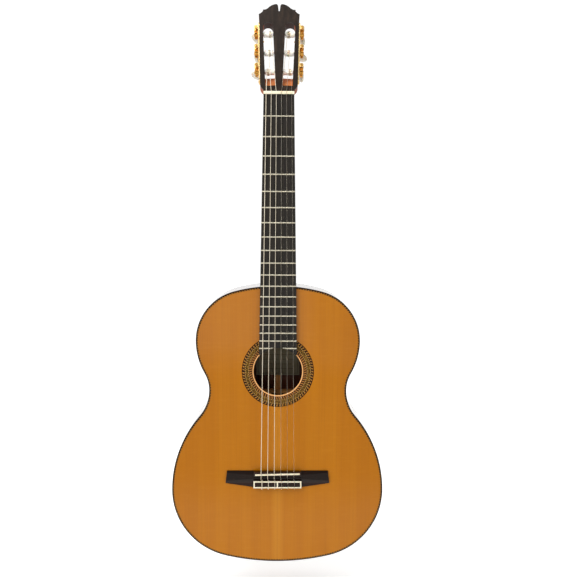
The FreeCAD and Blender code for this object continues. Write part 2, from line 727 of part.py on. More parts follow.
def make_veneer():
    """The dark facing, cut square to the nut at its lower end."""
    facing = extrude(head_outline(), Vector(0, 0, mm("veneer_thickness")))
    facing = in_head_frame(facing.cut([slot_shape(-1, False), slot_shape(1, False)]))
    above_nut = box(Vector(-FAR, -FAR, mm("nut_thickness")), Vector(FAR, FAR, FAR))
    return add_part("head_veneer", solid_of(facing.common(above_nut)))


# ---------------------------------------------------------------- part design helpers

def bind(thing, path, value):
    thing.setExpression(path, as_size(value).text)


def new_body(label):
    body = doc.addObject("PartDesign::Body", label)
    body.Label = label
    return body


def new_sketch(body, name, plane_role, lift=None):
    """A sketch on one of the body's own planes, lifted along its normal."""
    plane = [item for item in body.Origin.OriginFeatures if item.Role == plane_role][0]
    sketch = body.newObject("Sketcher::SketchObject", name)
    sketch.AttachmentSupport = [(plane, "")]
    sketch.MapMode = "FlatFace"
    if lift is not None:
        bind(sketch, "AttachmentOffset.Base.z", lift)
    return sketch


def place_vertex(sketch, edge, vertex, across, up):
    """Hold one point of a sketch at a place that is worked out from the sheet."""
    for kind, value in (("DistanceX", as_size(across)), ("DistanceY", as_size(up))):
        number = sketch.addConstraint(Sketcher.Constraint(kind, -1, 1, edge, vertex, value.value))
        sketch.setExpression("Constraints[%d]" % number, value.text)


def sketch_polygon(sketch, corners):
    """A closed loop of lines through corners, each corner held by expressions."""
    points = [Vector(as_size(across).value, as_size(up).value, 0) for across, up in corners]
    lines = []
    for start, end in zip(points, points[1:] + points[:1]):
        lines.append(sketch.addGeometry(Part.LineSegment(start, end), False))
    for here, after in zip(lines, lines[1:] + lines[:1]):
        sketch.addConstraint(Sketcher.Constraint("Coincident", here, 2, after, 1))
    for line, (across, up) in zip(lines, corners):
        place_vertex(sketch, line, 1, across, up)


def sketch_rectangle(sketch, left, right, low, high):
    sketch_polygon(sketch, [(left, low), (right, low), (right, high), (left, high)])


def sketch_circle(sketch, across, up, radius):
    centre = Vector(as_size(across).value, as_size(up).value, 0)
    circle = Part.Circle(centre, Z_AXIS, as_size(radius).value)
    edge = sketch.addGeometry(circle, False)
    number = sketch.addConstraint(Sketcher.Constraint("Radius", edge, as_size(radius).value))
    sketch.setExpression("Constraints[%d]" % number, as_size(radius).text)
    place_vertex(sketch, edge, 3, across, up)


def pad(body, name, sketch, length, side_type="One side", reverse=False):
    feature = body.newObject("PartDesign::Pad", name)
    feature.Profile = sketch
    feature.SideType = side_type
    feature.Reversed = reverse
    bind(feature, "Length", length)
    return feature


def pocket(body, name, sketch, length, side_type="One side", reverse=False):
    feature = body.newObject("PartDesign::Pocket", name)
    feature.Profile = sketch
    feature.SideType = side_type
    feature.Reversed = reverse
    bind(feature, "Length", length)
    return feature


# ---------------------------------------------------------------- fingerboard and nut

def fret_height_along(number):
    """Where a fret lies: each one shortens the string by the twelfth root of two."""
    return -size("scale_length") * (as_size(1) - as_size(2) ** (as_size(-number) / 12))


def make_fingerboard():
    body = new_body("fingerboard")
    end_half = nut_half - board_slope * board_end
    outline = new_sketch(body, "FingerboardOutline", "XZ_Plane")
    corners = [(-nut_half, 0), (nut_half, 0), (end_half, board_end), (-end_half, board_end)]
    sketch_polygon(outline, corners)
    pad(body, "FingerboardPad", outline, size("fingerboard_thickness"))

    hole = new_sketch(body, "FingerboardEnd", "XZ_Plane")
    sketch_circle(hole, 0, hole_height, size("hole_radius"))
    pocket(body, "FingerboardEndCut", hole, size("fingerboard_thickness"), reverse=True)

    slots = new_sketch(body, "FretSlots", "XZ_Plane", size("fingerboard_thickness"))
    half = size("fret_tang") / 2
    for number in range(1, int(mm("fret_count")) + 1):
        height = fret_height_along(number)
        end = nut_half - board_slope * height + 1
        sketch_rectangle(slots, -end, end, height - half, height + half)
    pocket(body, "FretSlotCut", slots, size("fret_tang_depth"))
    return body


def make_frets():
    """Each fret is a crown on the board and a tang in its slot; the last is split by the hole."""
    face = fingerboard_face.value
    half_crown = mm("fret_crown_width") / 2
    half_tang = mm("fret_tang") / 2
    mouth_centre = Vector(0, -FAR, hole_height.value)
    mouth = Part.makeCylinder(mm("hole_radius") + mm("fret_inset"), 4 * FAR, mouth_centre, Y_AXIS)
    frets = []
    for number in range(1, int(mm("fret_count")) + 1):
        height = fret_height_along(number).value
        reach = nut_half.value - board_slope.value * height - mm("fret_inset")
        left = Vector(-reach, face, height - half_crown)
        right = Vector(-reach, face, height + half_crown)
        crest = Vector(-reach, face - mm("fret_height"), height)
        crown = Part.Wire([Part.Arc(left, crest, right).toShape(), Part.makeLine(right, left)])
        bead = extrude(crown, Vector(2 * reach, 0, 0))
        low = Vector(-reach, face, height - half_tang)
        high = Vector(reach, face + mm("fret_tang_depth"), height + half_tang)
        fret = bead.fuse(box(low, high)).cut(mouth)
        frets += fret.removeSplitter().Solids
    return add_part("frets", Part.makeCompound(frets))


def make_nut():
    """A bone bar that falls off to the head, with a groove for each string."""
    width = nut_half.value
    back = mm("nut_thickness")
    front_height = -nut_height.value
    back_height = -nut_back_height.value
    crest = Vector(-width, (front_height + back_height) / 2 - NUT_CROWN, back * NUT_CREST_SHARE)
    front_top = Vector(-width, front_height, 0)
    back_top = Vector(-width, back_height, back)
    back_foot = Vector(-width, 0, back)
    front_foot = Vector(-width, 0, 0)
    face = [Part.makeLine(front_foot, front_top)]
    face.append(Part.Arc(front_top, crest, back_top).toShape())
    face.append(Part.makeLine(back_top, back_foot))
    face.append(Part.makeLine(back_foot, front_foot))
    bar = extrude(Part.Wire(face), Vector(2 * width, 0, 0))
    grooves = [nut_groove(number) for number in range(6)]
    return add_part("nut", solid_of(bar.cut(grooves)))


# ---------------------------------------------------------------- bridge

def bridge_outline_wire():
    """The bridge's plan: slanted tips, a straight front edge and a back edge that bellies out."""
    half = mm("bridge_length") / 2
    narrow = half - mm("tip_slant")
    front = -bridge_front.value
    wing = -wing_back.value
    belly = -tie_block_back.value - mm("belly_lip")
    shoulder = mm("tie_block_length") / 2
    points = [
        Vector(-half, 0, wing), Vector(-narrow, 0, front), Vector(narrow, 0, front),
        Vector(half, 0, wing), Vector(shoulder, 0, belly), Vector(-shoulder, 0, belly),
    ]
    return Part.makePolygon(points + [points[0]])


def bridge_crown():
    """The wings' cross-section: thickest along a ridge, thinner to both edges."""
    front = -bridge_front.value
    low = -tie_block_back.value - 2 * mm("belly_lip")
    section = [
        (0, front), (mm("wing_front_edge"), front), (mm("wing_thickness"), front - mm("wing_front_run")),
        (mm("wing_thickness"), -wing_ridge.value), (mm("wing_back_edge"), -wing_back.value),
        (mm("wing_back_edge"), low), (0, low),
    ]
    corners = [Vector(-FAR, -depth, height) for depth, height in section]
    return polygon_face(corners).extrude(Vector(2 * FAR, 0, 0))


def bridge_wings():
    """The slab under the blocks, thinner to its tips and its edges."""
    half = mm("bridge_length") / 2
    shoulder = mm("tie_block_length") / 2 + mm("wing_shoulder")
    rise = -mm("wing_thickness")
    tip = -mm("tip_thickness")
    profile = [
        Vector(-half, 0, 0), Vector(-half, tip, 0), Vector(-shoulder, rise, 0),
        Vector(shoulder, rise, 0), Vector(half, tip, 0), Vector(half, 0, 0),
    ]
    slab = polygon_face(profile).extrude(Vector(0, 0, -2 * FAR))
    plan = extrude(bridge_outline_wire(), Vector(0, 2 * rise, 0))
    return slab.common(plan).common(bridge_crown())


def make_bridge():
    """Wings that thin out to their tips, a saddle block and a tie block."""
    front = -bridge_front.value
    block = mm("tie_block_length") / 2
    rise = -mm("wing_thickness")
    crest = -mm("saddle_block_height")
    saddle_back = -saddle_station.value - mm("saddle_block_back")
    saddle_block = box(Vector(-block, crest, saddle_back), Vector(block, 0, front))
    slopes = [
        Vector(0, rise, saddle_back - mm("saddle_block_ramp")), Vector(0, crest, saddle_back),
        Vector(0, rise, saddle_back),
    ]
    slope = polygon_face(slopes).extrude(Vector(2 * block, 0, 0))
    slope.translate(Vector(-block, 0, 0))
    low = Vector(-block, -mm("tie_block_height"), -tie_block_back.value)
    tie_block = box(low, Vector(block, 0, -tie_block_front.value))
    bridge = bridge_wings().fuse([saddle_block, slope, tie_block]).removeSplitter()
    bridge = soften_block_ends(bridge, block)

    cuts = [saddle_blank(), inlay_shape()]
    for number in range(6):
        across = string_across(number, mm("bridge_string_spread"))
        start = Vector(across, -mm("tie_hole_height"), -tie_block_front.value + 1)
        reach = tie_block_back.value - tie_block_front.value + 2
        cuts.append(Part.makeCylinder(mm("tie_hole_radius"), reach, start, -Z_AXIS))
    return add_part("bridge", solid_of(bridge.cut(cuts)))


def soften_block_ends(bridge, block):
    """Round the blocks' ends down to the wings."""
    edges = []
    for edge in bridge.Edges:
        middle = edge.CenterOfMass
        straight_up = abs(edge.BoundBox.YLength) < 0.01 and abs(edge.BoundBox.XLength) < 0.01
        at_top = middle.y < -mm("saddle_block_height") + 0.01
        if straight_up and at_top and abs(abs(middle.x) - block) < 0.01:
            edges.append(edge)
    return bridge.makeFillet(mm("block_rounding"), edges) if edges else bridge


def saddle_frame():
    lean = math.degrees(math.atan2(mm("saddle_skew"), mm("saddle_length")))
    return FreeCAD.Placement(Vector(0, 0, -saddle_station.value), FreeCAD.Rotation(Y_AXIS, -lean))


def saddle_blank():
    half = mm("saddle_length") / 2
    thick = mm("saddle_thickness") / 2
    blank = box(Vector(-half, -20, -thick), Vector(half, -mm("saddle_seat"), thick))
    blank.Placement = saddle_frame()
    return blank


def make_saddle():
    """A bone bar with a rounded crest, set at a slant in its slot."""
    body = new_body("saddle")
    profile = new_sketch(body, "SaddleProfile", "YZ_Plane")
    half = size("saddle_thickness") / 2
    sketch_rectangle(profile, saddle_top, -size("saddle_seat"), -half, half)
    bar = pad(body, "SaddlePad", profile, size("saddle_length"), "Symmetric")
    doc.recompute()
    names = []
    for number, edge in enumerate(bar.Shape.Edges, 1):
        if edge.BoundBox.XLength > mm("saddle_length") / 2 and edge.CenterOfMass.y < saddle_top.value + 0.1:
            names.append("Edge%d" % number)
    crest = body.newObject("PartDesign::Fillet", "SaddleCrest")
    crest.Base = (bar, names)
    bind(crest, "Radius", half * size("saddle_rounding"))
    body.Placement = saddle_frame()
    bind(body, "Placement.Base.z", -saddle_station)
    return body


def inlay_shape():
    """The pale frame round the top of the tie block, with a bar across its middle."""
    half = mm("tie_block_length") / 2
    bar = mm("inlay_bar")
    front = -tie_block_front.value
    back = -tie_block_back.value
    top = -mm("tie_block_height")
    low = top + mm("inlay_depth")
    frame = box(Vector(-half, top, back), Vector(half, low, front))
    inner = half - bar
    middle = bar / 2
    left = box(Vector(-inner, top, back + bar), Vector(-middle, low, front - bar))
    right = box(Vector(middle, top, back + bar), Vector(inner, low, front - bar))
    return frame.cut([left, right])


# ---------------------------------------------------------------- tuning machines

def roller_height(place):
    return mm("first_roller") + place * mm("roller_spacing")


def cheek_depth(place):
    """From the head's side to the slot, at one roller."""
    along = roller_height(place)
    side = SIDE_FOOT[0] + math.tan(SIDE_LEAN) * (along - SIDE_FOOT[1])
    splay = math.tan(math.radians(mm("slot_splay")))
    slot_edge = mm("slot_centre") + splay * (along - mm("slot_start")) + mm("slot_width") / 2
    return side - slot_edge


def machine_frame(side, place):
    """X out of the head's side, Y up along it; Z is to the front on the treble side."""
    along = roller_height(place)
    across = SIDE_FOOT[0] + math.tan(SIDE_LEAN) * (along - SIDE_FOOT[1])
    lean = math.degrees(SIDE_LEAN)
    turn = FreeCAD.Rotation(Z_AXIS, -side * lean)
    if side < 0:
        turn = turn.multiply(FreeCAD.Rotation(Y_AXIS, 180))
    local = FreeCAD.Placement(Vector(side * across, along, -mm("roller_depth")), turn)
    return HEAD_FRAME.multiply(local)


def machine(string):
    """Side, place and number of the machine that holds a string, counted from the bass."""
    if string < 3:
        return -1, string
    return 1, 5 - string


def worm_centre():
    return mm("gear_radius") + mm("worm_radius")


def gear_middle():
    return mm("plate_thickness") + mm("gear_standoff") + mm("gear_thickness") / 2


def lug_face():
    """From the roller's axis to the near face of a lug, along the worm."""
    return thread_half() + mm("worm_end_gap")


def thread_pitch():
    return 2 * math.pi * mm("gear_radius") / mm("gear_teeth")


def thread_half():
    return (WORM_HALF_TURNS + 0.25) * thread_pitch()


def plate_screws(side):
    """Four wood screws through the plate, on the middle line between the machines."""
    face = mm("plate_thickness")
    top = face + mm("plate_screw_dome")
    radius = mm("plate_screw_head")
    slit = mm("plate_screw_slit") / 2
    screws = []
    for share in PLATE_SCREW_PLACES:
        shank = Part.makeCylinder(
            mm("plate_screw_radius"), mm("plate_screw_length") + face,
            Vector(-mm("plate_screw_length"), 0, 0), X_AXIS)
        dome = Part.makeCylinder(radius, mm("plate_screw_dome"), Vector(face, 0, 0), X_AXIS)
        rim = [edge for edge in dome.Edges if edge.BoundBox.XMin > top - 0.01]
        dome = dome.makeFillet(mm("plate_screw_edge"), rim)
        low = Vector(top - mm("plate_screw_slit_depth"), -radius, -slit)
        notch = box(low, Vector(top + 1, radius, slit))
        screw = shank.fuse(dome.cut(notch)).removeSplitter()
        screw.translate(Vector(0, share * mm("roller_spacing"), 0))
        screw.Placement = machine_frame(side, 0).multiply(screw.Placement)
        screws.append(screw)
    return screws


def make_plate(side, label):
    """A gilt plate with a pair of lugs for each worm; front is the local Z sense."""
    front = 1 if side > 0 else -1
    thick = mm("plate_thickness")
    half = mm("plate_width") / 2
    length = mm("plate_length")
    start = mm("roller_spacing") - length / 2
    plate = box(Vector(0, start + half, -half), Vector(thick, start + length - half, half))
    for end in (start + half, start + length - half):
        plate = plate.fuse(Part.makeCylinder(half, thick, Vector(0, end, 0), X_AXIS))
    plate = plate.removeSplitter()
    lug_half = mm("lug_half_width")
    middle = gear_middle()
    holes = []
    for place in range(3):
        along = place * mm("roller_spacing")
        bore = mm("axle_radius") + mm("axle_gap")
        holes.append(Part.makeCylinder(bore, thick + 2, Vector(-1, along, 0), X_AXIS))
        worm = along + worm_centre()
        for sense in (-1, 1):
            near = sense * lug_face()
            far = near + sense * mm("lug_thickness")
            low = min(near, far)
            lug_high = Vector(middle, worm + lug_half, low + mm("lug_thickness"))
            lug = box(Vector(thick / 2, worm - lug_half, low), lug_high)
            round_end = Part.makeCylinder(lug_half, mm("lug_thickness"), Vector(middle, worm, low), Z_AXIS)
            plate = plate.fuse([lug, round_end])
        bore = mm("worm_shaft_radius") + mm("axle_gap")
        holes.append(Part.makeCylinder(bore, 60, Vector(middle, worm, -30), Z_AXIS))
    plate = solid_of(plate.cut(holes))
    plate.Placement = machine_frame(side, 0).multiply(plate.Placement)
    plate = plate.cut(plate_screws(side))
    return add_part(label, solid_of(plate))


def make_roller(string):
    """A drum in the slot on an axle that runs out through the cheek to the gear."""
    side, place = machine(string)
    body = new_body("roller_%d" % (6 - string))
    profile = new_sketch(body, "RollerProfile%d" % string, "XY_Plane")
    cheek = cheek_depth(place)
    splay_room = mm("roller_radius") * math.tan(math.radians(mm("slot_splay")) - SIDE_LEAN)
    drum_out = -(as_size(cheek) + size("roller_end_gap") + splay_room)
    drum_in = -(as_size(cheek) + size("slot_width") - size("roller_end_gap") - splay_room)
    bore_depth = size("gear_standoff") + size("gear_thickness") * size("gear_bore_share")
    axle_end = size("plate_thickness") + bore_depth
    stub_end = -(as_size(cheek) + size("slot_width") + size("stub_length") - 0.5)
    corners = [
        (stub_end, 0), (axle_end, 0), (axle_end, size("axle_radius")), (drum_out, size("axle_radius")),
        (drum_out, size("roller_radius")), (drum_in, size("roller_radius")),
        (drum_in, size("stub_radius")), (stub_end, size("stub_radius")),
    ]
    sketch_polygon(profile, corners)
    turned = body.newObject("PartDesign::Revolution", "RollerTurned%d" % string)
    turned.Profile = profile
    turned.ReferenceAxis = (profile, ["H_Axis"])
    turned.Angle = 360
    body.Placement = machine_frame(side, place)
    return body


def make_gear(string):
    """A worm wheel on the axle's outer end: a toothed disc, a hub and a screw head."""
    side, place = machine(string)
    body = new_body("gear_%d" % (6 - string))
    inner = size("plate_thickness") + size("gear_standoff")
    outer = inner + size("gear_thickness")
    tip = size("gear_radius") + size("thread_height")
    root = size("gear_radius") - size("thread_height") - size("gear_root_room")
    disc = new_sketch(body, "GearDisc%d" % string, "YZ_Plane", inner)
    sketch_circle(disc, 0, 0, tip)
    pad(body, "GearDiscPad%d" % string, disc, size("gear_thickness"))

    gap = new_sketch(body, "GearGap%d" % string, "YZ_Plane", inner)
    half_root = size("gear_gap_root")
    half_tip = size("gear_gap_tip")
    corners = [(root, -half_root), (tip + 1, -half_tip), (tip + 1, half_tip), (root, half_root)]
    sketch_polygon(gap, corners)
    cut = pocket(body, "GearGapCut%d" % string, gap, size("gear_thickness"), reverse=True)
    doc.recompute()
    teeth = body.newObject("PartDesign::PolarPattern", "GearTeeth%d" % string)
    teeth.Originals = [cut]
    teeth.Axis = (disc, ["N_Axis"])
    teeth.Angle = 360
    bind(teeth, "Occurrences", size("gear_teeth"))
    body.Tip = teeth

    hub_face = size("plate_thickness") + size("gear_hub_gap")
    hub = new_sketch(body, "GearHub%d" % string, "YZ_Plane", hub_face)
    sketch_circle(hub, 0, 0, size("axle_radius") + size("gear_hub_rim"))
    pad(body, "GearHubPad%d" % string, hub, size("gear_standoff") - size("gear_hub_gap"))

    screw = size("gear_screw_radius")
    head = new_sketch(body, "GearScrew%d" % string, "YZ_Plane", outer)
    sketch_circle(head, 0, 0, screw)
    pad(body, "GearScrewPad%d" % string, head, size("gear_screw_height"))
    slit = new_sketch(body, "GearSlit%d" % string, "YZ_Plane", outer + size("gear_screw_height"))
    half_slit = size("gear_slit") / 2
    sketch_rectangle(slit, -screw * 1.1, screw * 1.1, -half_slit, half_slit)
    pocket(body, "GearSlitCut%d" % string, slit, size("gear_slit_depth"))

    bore = new_sketch(body, "GearBore%d" % string, "YZ_Plane", size("plate_thickness"))
    sketch_circle(bore, 0, 0, size("axle_radius"))
    depth = size("gear_standoff") + size("gear_thickness") * size("gear_bore_share")
    pocket(body, "GearBoreCut%d" % string, bore, depth, reverse=True)
    body.Placement = machine_frame(side, place)
    return body


def worm_frame(string):
    side, place = machine(string)
    local = FreeCAD.Placement(Vector(gear_middle(), worm_centre(), 0), FreeCAD.Rotation())
    return machine_frame(side, place).multiply(local)


def make_worm(string):
    """A shaft with a right-handed thread that meshes with the gear."""
    side, _ = machine(string)
    back = -1 if side > 0 else 1
    pitch = thread_pitch()
    crest = mm("worm_radius") + mm("thread_height")
    root = mm("worm_radius") - mm("thread_root")
    half = thread_half()
    core = Part.makeCylinder(root, 2 * half, Vector(0, 0, -half))
    nose = lug_face() + mm("lug_thickness") + mm("worm_end_gap")
    tail = mm("button_start") + mm("button_hold") - mm("roller_depth")
    start = min(-back * nose, back * tail)
    length = nose + tail
    shaft = Part.makeCylinder(mm("worm_shaft_radius"), length, Vector(0, 0, start))
    cap_length = mm("worm_cap_length")
    cap_start = nose if back < 0 else -nose - cap_length
    cap_radius = mm("worm_shaft_radius") + mm("worm_cap_rim")
    cap = Part.makeCylinder(cap_radius, cap_length, Vector(0, 0, cap_start))

    base = mm("thread_base")
    flank = mm("thread_crest")
    inner = root - mm("thread_bite")
    helix = Part.makeHelix(pitch, THREAD_TURNS * pitch, root)
    profile = Part.makePolygon([
        Vector(inner, 0, -base), Vector(crest, 0, -flank), Vector(crest, 0, flank),
        Vector(inner, 0, base), Vector(inner, 0, -base)])
    thread = Part.Wire(helix).makePipeShell([profile], True, True)
    # The thread crosses the gear's side of the shaft level with the roller's axis.
    thread.translate(Vector(0, 0, -WORM_HALF_TURNS * pitch))
    worm = core.fuse([shaft, cap]).fuse(thread)
    worm = solid_of(worm)
    worm.Placement = worm_frame(string)
    return add_part("worm_%d" % (6 - string), worm)


def make_button(string):
    """A pearly paddle on the worm's shaft, behind the head."""
    side, _ = machine(string)
    back = -1 if side > 0 else 1
    start = mm("button_start") - mm("roller_depth")
    collar_end = start + mm("collar_length")
    half_width = mm("button_width") / 2
    half_thick = mm("button_thickness") / 2
    layers = []
    for share, wide, thick in BUTTON_LAYERS:
        height = collar_end + share * mm("button_length")
        major = Vector(half_width * wide, 0, height)
        minor = Vector(0, half_thick * thick, height)
        ellipse = Part.Ellipse(major, minor, Vector(0, 0, height))
        layers.append(Part.Wire(ellipse.toShape()))
    paddle = Part.makeLoft(layers, True, False)
    collar = Part.makeCylinder(mm("collar_radius"), mm("collar_length") + 1, Vector(0, 0, start))
    bore = Part.makeCylinder(mm("worm_shaft_radius"), mm("button_hold"), Vector(0, 0, start))
    button = solid_of(paddle.fuse(collar).cut(bore))
    button.rotate(ORIGIN, Z_AXIS, BUTTON_TURNS[string])
    if back < 0:
        button.rotate(ORIGIN, X_AXIS, 180)
    button.Placement = worm_frame(string).multiply(button.Placement)
    return add_part("button_%d" % (6 - string), button)


# ---------------------------------------------------------------- strings

def string_across(number, spread):
    return -spread / 2 + number * spread / 5


def round_route(points, radii):
    """Straight runs joined by tangent arcs: one radius for each bend."""
    edges = []
    here = points[0]
    for before, bend, after, radius in zip(points, points[1:], points[2:], radii):
        arrive = (bend - before).normalize()
        leave = (after - bend).normalize()
        half_turn = arrive.getAngle(leave) / 2
        room = 0.45 * min((bend - before).Length, (after - bend).Length)
        radius = min(radius, room / math.tan(half_turn))
        setback = radius * math.tan(half_turn)
        start = bend - arrive * setback
        end = bend + leave * setback
        inside = (leave - arrive).normalize()
        middle = bend + inside * (radius / math.cos(half_turn) - radius)
        edges.append(Part.makeLine(here, start))
        edges.append(Part.Arc(start, middle, end).toShape())
        here = end
    edges.append(Part.makeLine(here, points[-1]))
    return edges


def sweep_round(edges, radius):
    """A round rod along a smooth route."""
    first = edges[0]
    start = first.valueAt(first.FirstParameter)
    heading = first.tangentAt(first.FirstParameter)
    section = Part.Wire(Part.Circle(start, heading, radius).toShape())
    return Part.Wire(edges).makePipeShell([section], True, False)


def winding_inner(string):
    """How far in from the head's side each string meets its roller."""
    _, place = machine(string)
    return cheek_depth(place) + mm("slot_width") * WINDING_SHARES[place]


def winding(number):
    """The turns round the roller: where they start, the way in to them, and the helix."""
    radius = STRING_DIAMETERS[number] / 2
    side, place = machine(number)
    frame = machine_frame(side, place)
    clear = mm("roller_radius") + radius + WINDING_GAP
    centre = frame.multVec(Vector(-winding_inner(number), 0, 0))
    lift = HEAD_FRAME.Rotation.multVec(Z_AXIS)
    along = HEAD_FRAME.Rotation.multVec(Y_AXIS)
    at_nut = Vector(0, -nut_string_height.value, mm("nut_thickness") * NUT_BREAK_SHARE)
    reach = centre - at_nut
    # The string leaves the nut on the line that just touches the turns' front.
    slope = math.atan2(reach.dot(lift), reach.dot(along)) + math.asin(clear / math.hypot(reach.y, reach.z))
    start = lift * math.cos(slope) - along * math.sin(slope)
    # The turns grow from the touch towards the middle of the slot.
    axis = frame.Rotation.multVec(X_AXIS)
    if WINDING_SHARES[place] < 0.5:
        axis = -axis
    start = (start - axis * start.dot(axis)).normalize()
    third = axis.cross(start)
    left_handed = third.dot(along) < 0
    pitch = 2 * radius + WINDING_GAP
    helix = Part.makeHelix(pitch, STRING_WRAPS[number] * pitch, clear, 0, left_handed)
    helix.Placement = FreeCAD.Placement(centre, FreeCAD.Rotation(start, third, axis, "XYZ"))
    climb = math.atan2(pitch, 2 * math.pi * clear)
    onward = third * (-1 if left_handed else 1)
    heading = onward * math.cos(climb) + axis * math.sin(climb)
    return centre + start * clear, heading, helix.Edges


def string_points(number):
    """The string's bends: tail, loop over the tie block, saddle, nut, roller."""
    radius = STRING_DIAMETERS[number] / 2
    at_nut = string_across(number, mm("nut_string_spread"))
    at_bridge = string_across(number, mm("bridge_string_spread"))
    skew = mm("saddle_skew") * at_bridge / mm("saddle_length")
    over_saddle = -saddle_height.value - radius - mm("string_gap")
    drop = math.atan2(-over_saddle - mm("tie_hole_height"), tie_block_front.value - saddle_station.value)
    crest = mm("saddle_thickness") / 2 + radius
    saddle_break = -saddle_station.value + skew - crest * math.tan(drop / 2)
    saddle = Vector(at_bridge, over_saddle, saddle_break)
    nut_break = Vector(at_nut, -nut_string_height.value, mm("nut_thickness") * NUT_BREAK_SHARE)
    touch, heading, _ = winding(number)

    behind = -tie_block_back.value - mm("tie_loop_back") - radius
    before = -tie_block_front.value + mm("tie_loop_front") + radius
    over = -mm("tie_block_height") - radius - mm("string_gap")
    aside = at_bridge + 2 * radius + 0.5
    hole_in = Vector(at_bridge, -mm("tie_hole_height"), -tie_block_front.value - 0.5)
    hole_out = Vector(at_bridge, -mm("tie_hole_height"), behind)
    loop_back = Vector(aside, over, behind)
    loop_front = Vector(aside, over, before)
    tail = Vector(aside + mm("tie_tail_aside"), over + mm("tie_tail_rise"), before)
    lead_in = touch - heading * mm("roller_radius") * 0.6
    return [tail, loop_front, loop_back, hole_out, hole_in, saddle, nut_break, lead_in, touch]


def string_bends(number):
    radius = STRING_DIAMETERS[number] / 2
    loop = 1.3 * radius + 0.4
    saddle = mm("saddle_thickness") / 2 + radius
    return [loop, loop, loop, 2.0, saddle, mm("nut_thickness"), 40.0]


def nut_groove(number):
    """The groove follows the string over the nut."""
    radius = STRING_DIAMETERS[number] / 2 + mm("string_gap")
    points = string_points(number)[5:8]
    return sweep_round(round_route(points, [mm("nut_thickness")]), radius)


def make_string(number):
    _, _, turns = winding(number)
    edges = round_route(string_points(number), string_bends(number)) + turns
    string = sweep_round(edges, STRING_DIAMETERS[number] / 2)
    return add_part("string_%d" % (6 - number), string)


# ---------------------------------------------------------------- the whole guitar

parts = [make_soundboard(), make_rosette()]
parts += make_back()
parts += make_sides()
parts += make_edges()
parts += [make_linings(), make_soundboard_braces(), make_back_braces(), make_seam_strip(), make_label()]
parts.append(add_part("tail_block", tail_block_shape()))
parts += [make_neck(), make_head(), make_veneer(), add_part("heel_cap", heel_cap_shape())]
parts += [make_fingerboard(), make_frets(), make_nut()]
parts += [make_bridge(), make_saddle(), add_part("tie_block_inlay", inlay_shape())]
parts += [make_plate(-1, "tuner_plate_bass"), make_plate(1, "tuner_plate_treble")]
parts.append(add_part("tuner_screws", Part.makeCompound(plate_screws(-1) + plate_screws(1))))
for string in range(6):
    parts += [make_roller(string), make_gear(string), make_worm(string), make_button(string)]
    parts.append(make_string(string))

doc.recompute()

for item in doc.Objects:
    if "Invalid" in item.State or "Error" in item.State:
        raise RuntimeError("%s failed: %s" % (item.Label, item.State))
for part in parts:
    if part.Shape.isNull() or not part.Shape.isValid():
        raise RuntimeError("%s has no valid shape" % part.Label)

os.makedirs("parts", exist_ok=True)
for part in parts:
    part.Shape.exportStep(os.path.join("parts", part.Label + ".step"))
print("wrote %d parts" % len(parts))
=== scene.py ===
import math

import bmesh
import bpy
from mathutils import Matrix, Vector

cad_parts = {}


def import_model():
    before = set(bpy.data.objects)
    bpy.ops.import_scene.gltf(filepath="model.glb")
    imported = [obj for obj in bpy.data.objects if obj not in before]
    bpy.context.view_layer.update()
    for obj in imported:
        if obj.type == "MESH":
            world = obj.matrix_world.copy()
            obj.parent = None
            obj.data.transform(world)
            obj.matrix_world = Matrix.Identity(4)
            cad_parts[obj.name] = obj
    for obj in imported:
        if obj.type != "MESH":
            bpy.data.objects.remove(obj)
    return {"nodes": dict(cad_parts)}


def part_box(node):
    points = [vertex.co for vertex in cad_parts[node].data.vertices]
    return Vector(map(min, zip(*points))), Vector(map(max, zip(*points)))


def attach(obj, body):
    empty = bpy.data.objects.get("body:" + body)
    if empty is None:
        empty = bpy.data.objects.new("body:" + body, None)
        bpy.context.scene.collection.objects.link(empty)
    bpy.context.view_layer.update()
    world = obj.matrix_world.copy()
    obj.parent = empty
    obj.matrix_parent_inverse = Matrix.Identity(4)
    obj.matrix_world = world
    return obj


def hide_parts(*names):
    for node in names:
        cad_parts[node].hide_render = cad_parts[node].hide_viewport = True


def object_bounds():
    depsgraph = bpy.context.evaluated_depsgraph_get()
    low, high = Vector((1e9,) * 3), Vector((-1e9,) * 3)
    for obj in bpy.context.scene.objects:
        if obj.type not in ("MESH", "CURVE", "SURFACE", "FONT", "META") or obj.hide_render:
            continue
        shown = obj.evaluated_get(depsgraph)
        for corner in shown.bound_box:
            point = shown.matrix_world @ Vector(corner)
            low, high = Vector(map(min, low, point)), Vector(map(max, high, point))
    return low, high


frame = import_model()
cad_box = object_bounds()

MM = 0.001
Y_AXIS = Vector((0, 1, 0))

# ---------------------------------------------------------------- the guitar's sizes, in metres



def height(node, end):
    """How high a node starts, with end 0, or stops, with end 1."""
    return round(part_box(node)[end].z, 6)


def depth(node):
    """How far back a node of the flat top reaches."""
    return round(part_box(node)[1].y, 6)


BODY_TOP = height("back_binding", 1)
TAIL = height("back_binding", 0)
EDGE = 0.002                    # how thick the ribs and bindings are
PURFLING = 0.0018               # how wide the rope line is
PURFLING_DEPTH = depth("top_purfling")
TOP_THICK = depth("soundboard")
BINDING = depth("top_binding")
BACK_RADIUS = 4.5
BACK_DEEPEST = 0.103            # the arched back's furthest point from the top's face
BACK_CENTRE = Vector((0, BACK_DEEPEST - BACK_RADIUS, BODY_TOP - 0.3))
HOLE_Z = round((height("rosette", 0) + height("rosette", 1)) / 2, 6)
HOLE_RADIUS = 0.0425
ROSETTE_INNER = 0.0455
ROSETTE_OUTER = 0.063
ROSETTE_DEPTH = depth("rosette")
SMOOTH_LIMIT = math.radians(40)     # edges sharper than this stay sharp
SAME_PLACE = 1e-6


# ---------------------------------------------------------------- finishes from nodes

def linear(level):
    level /= 255
    return level / 12.92 if level <= 0.04045 else ((level + 0.055) / 1.055) ** 2.4


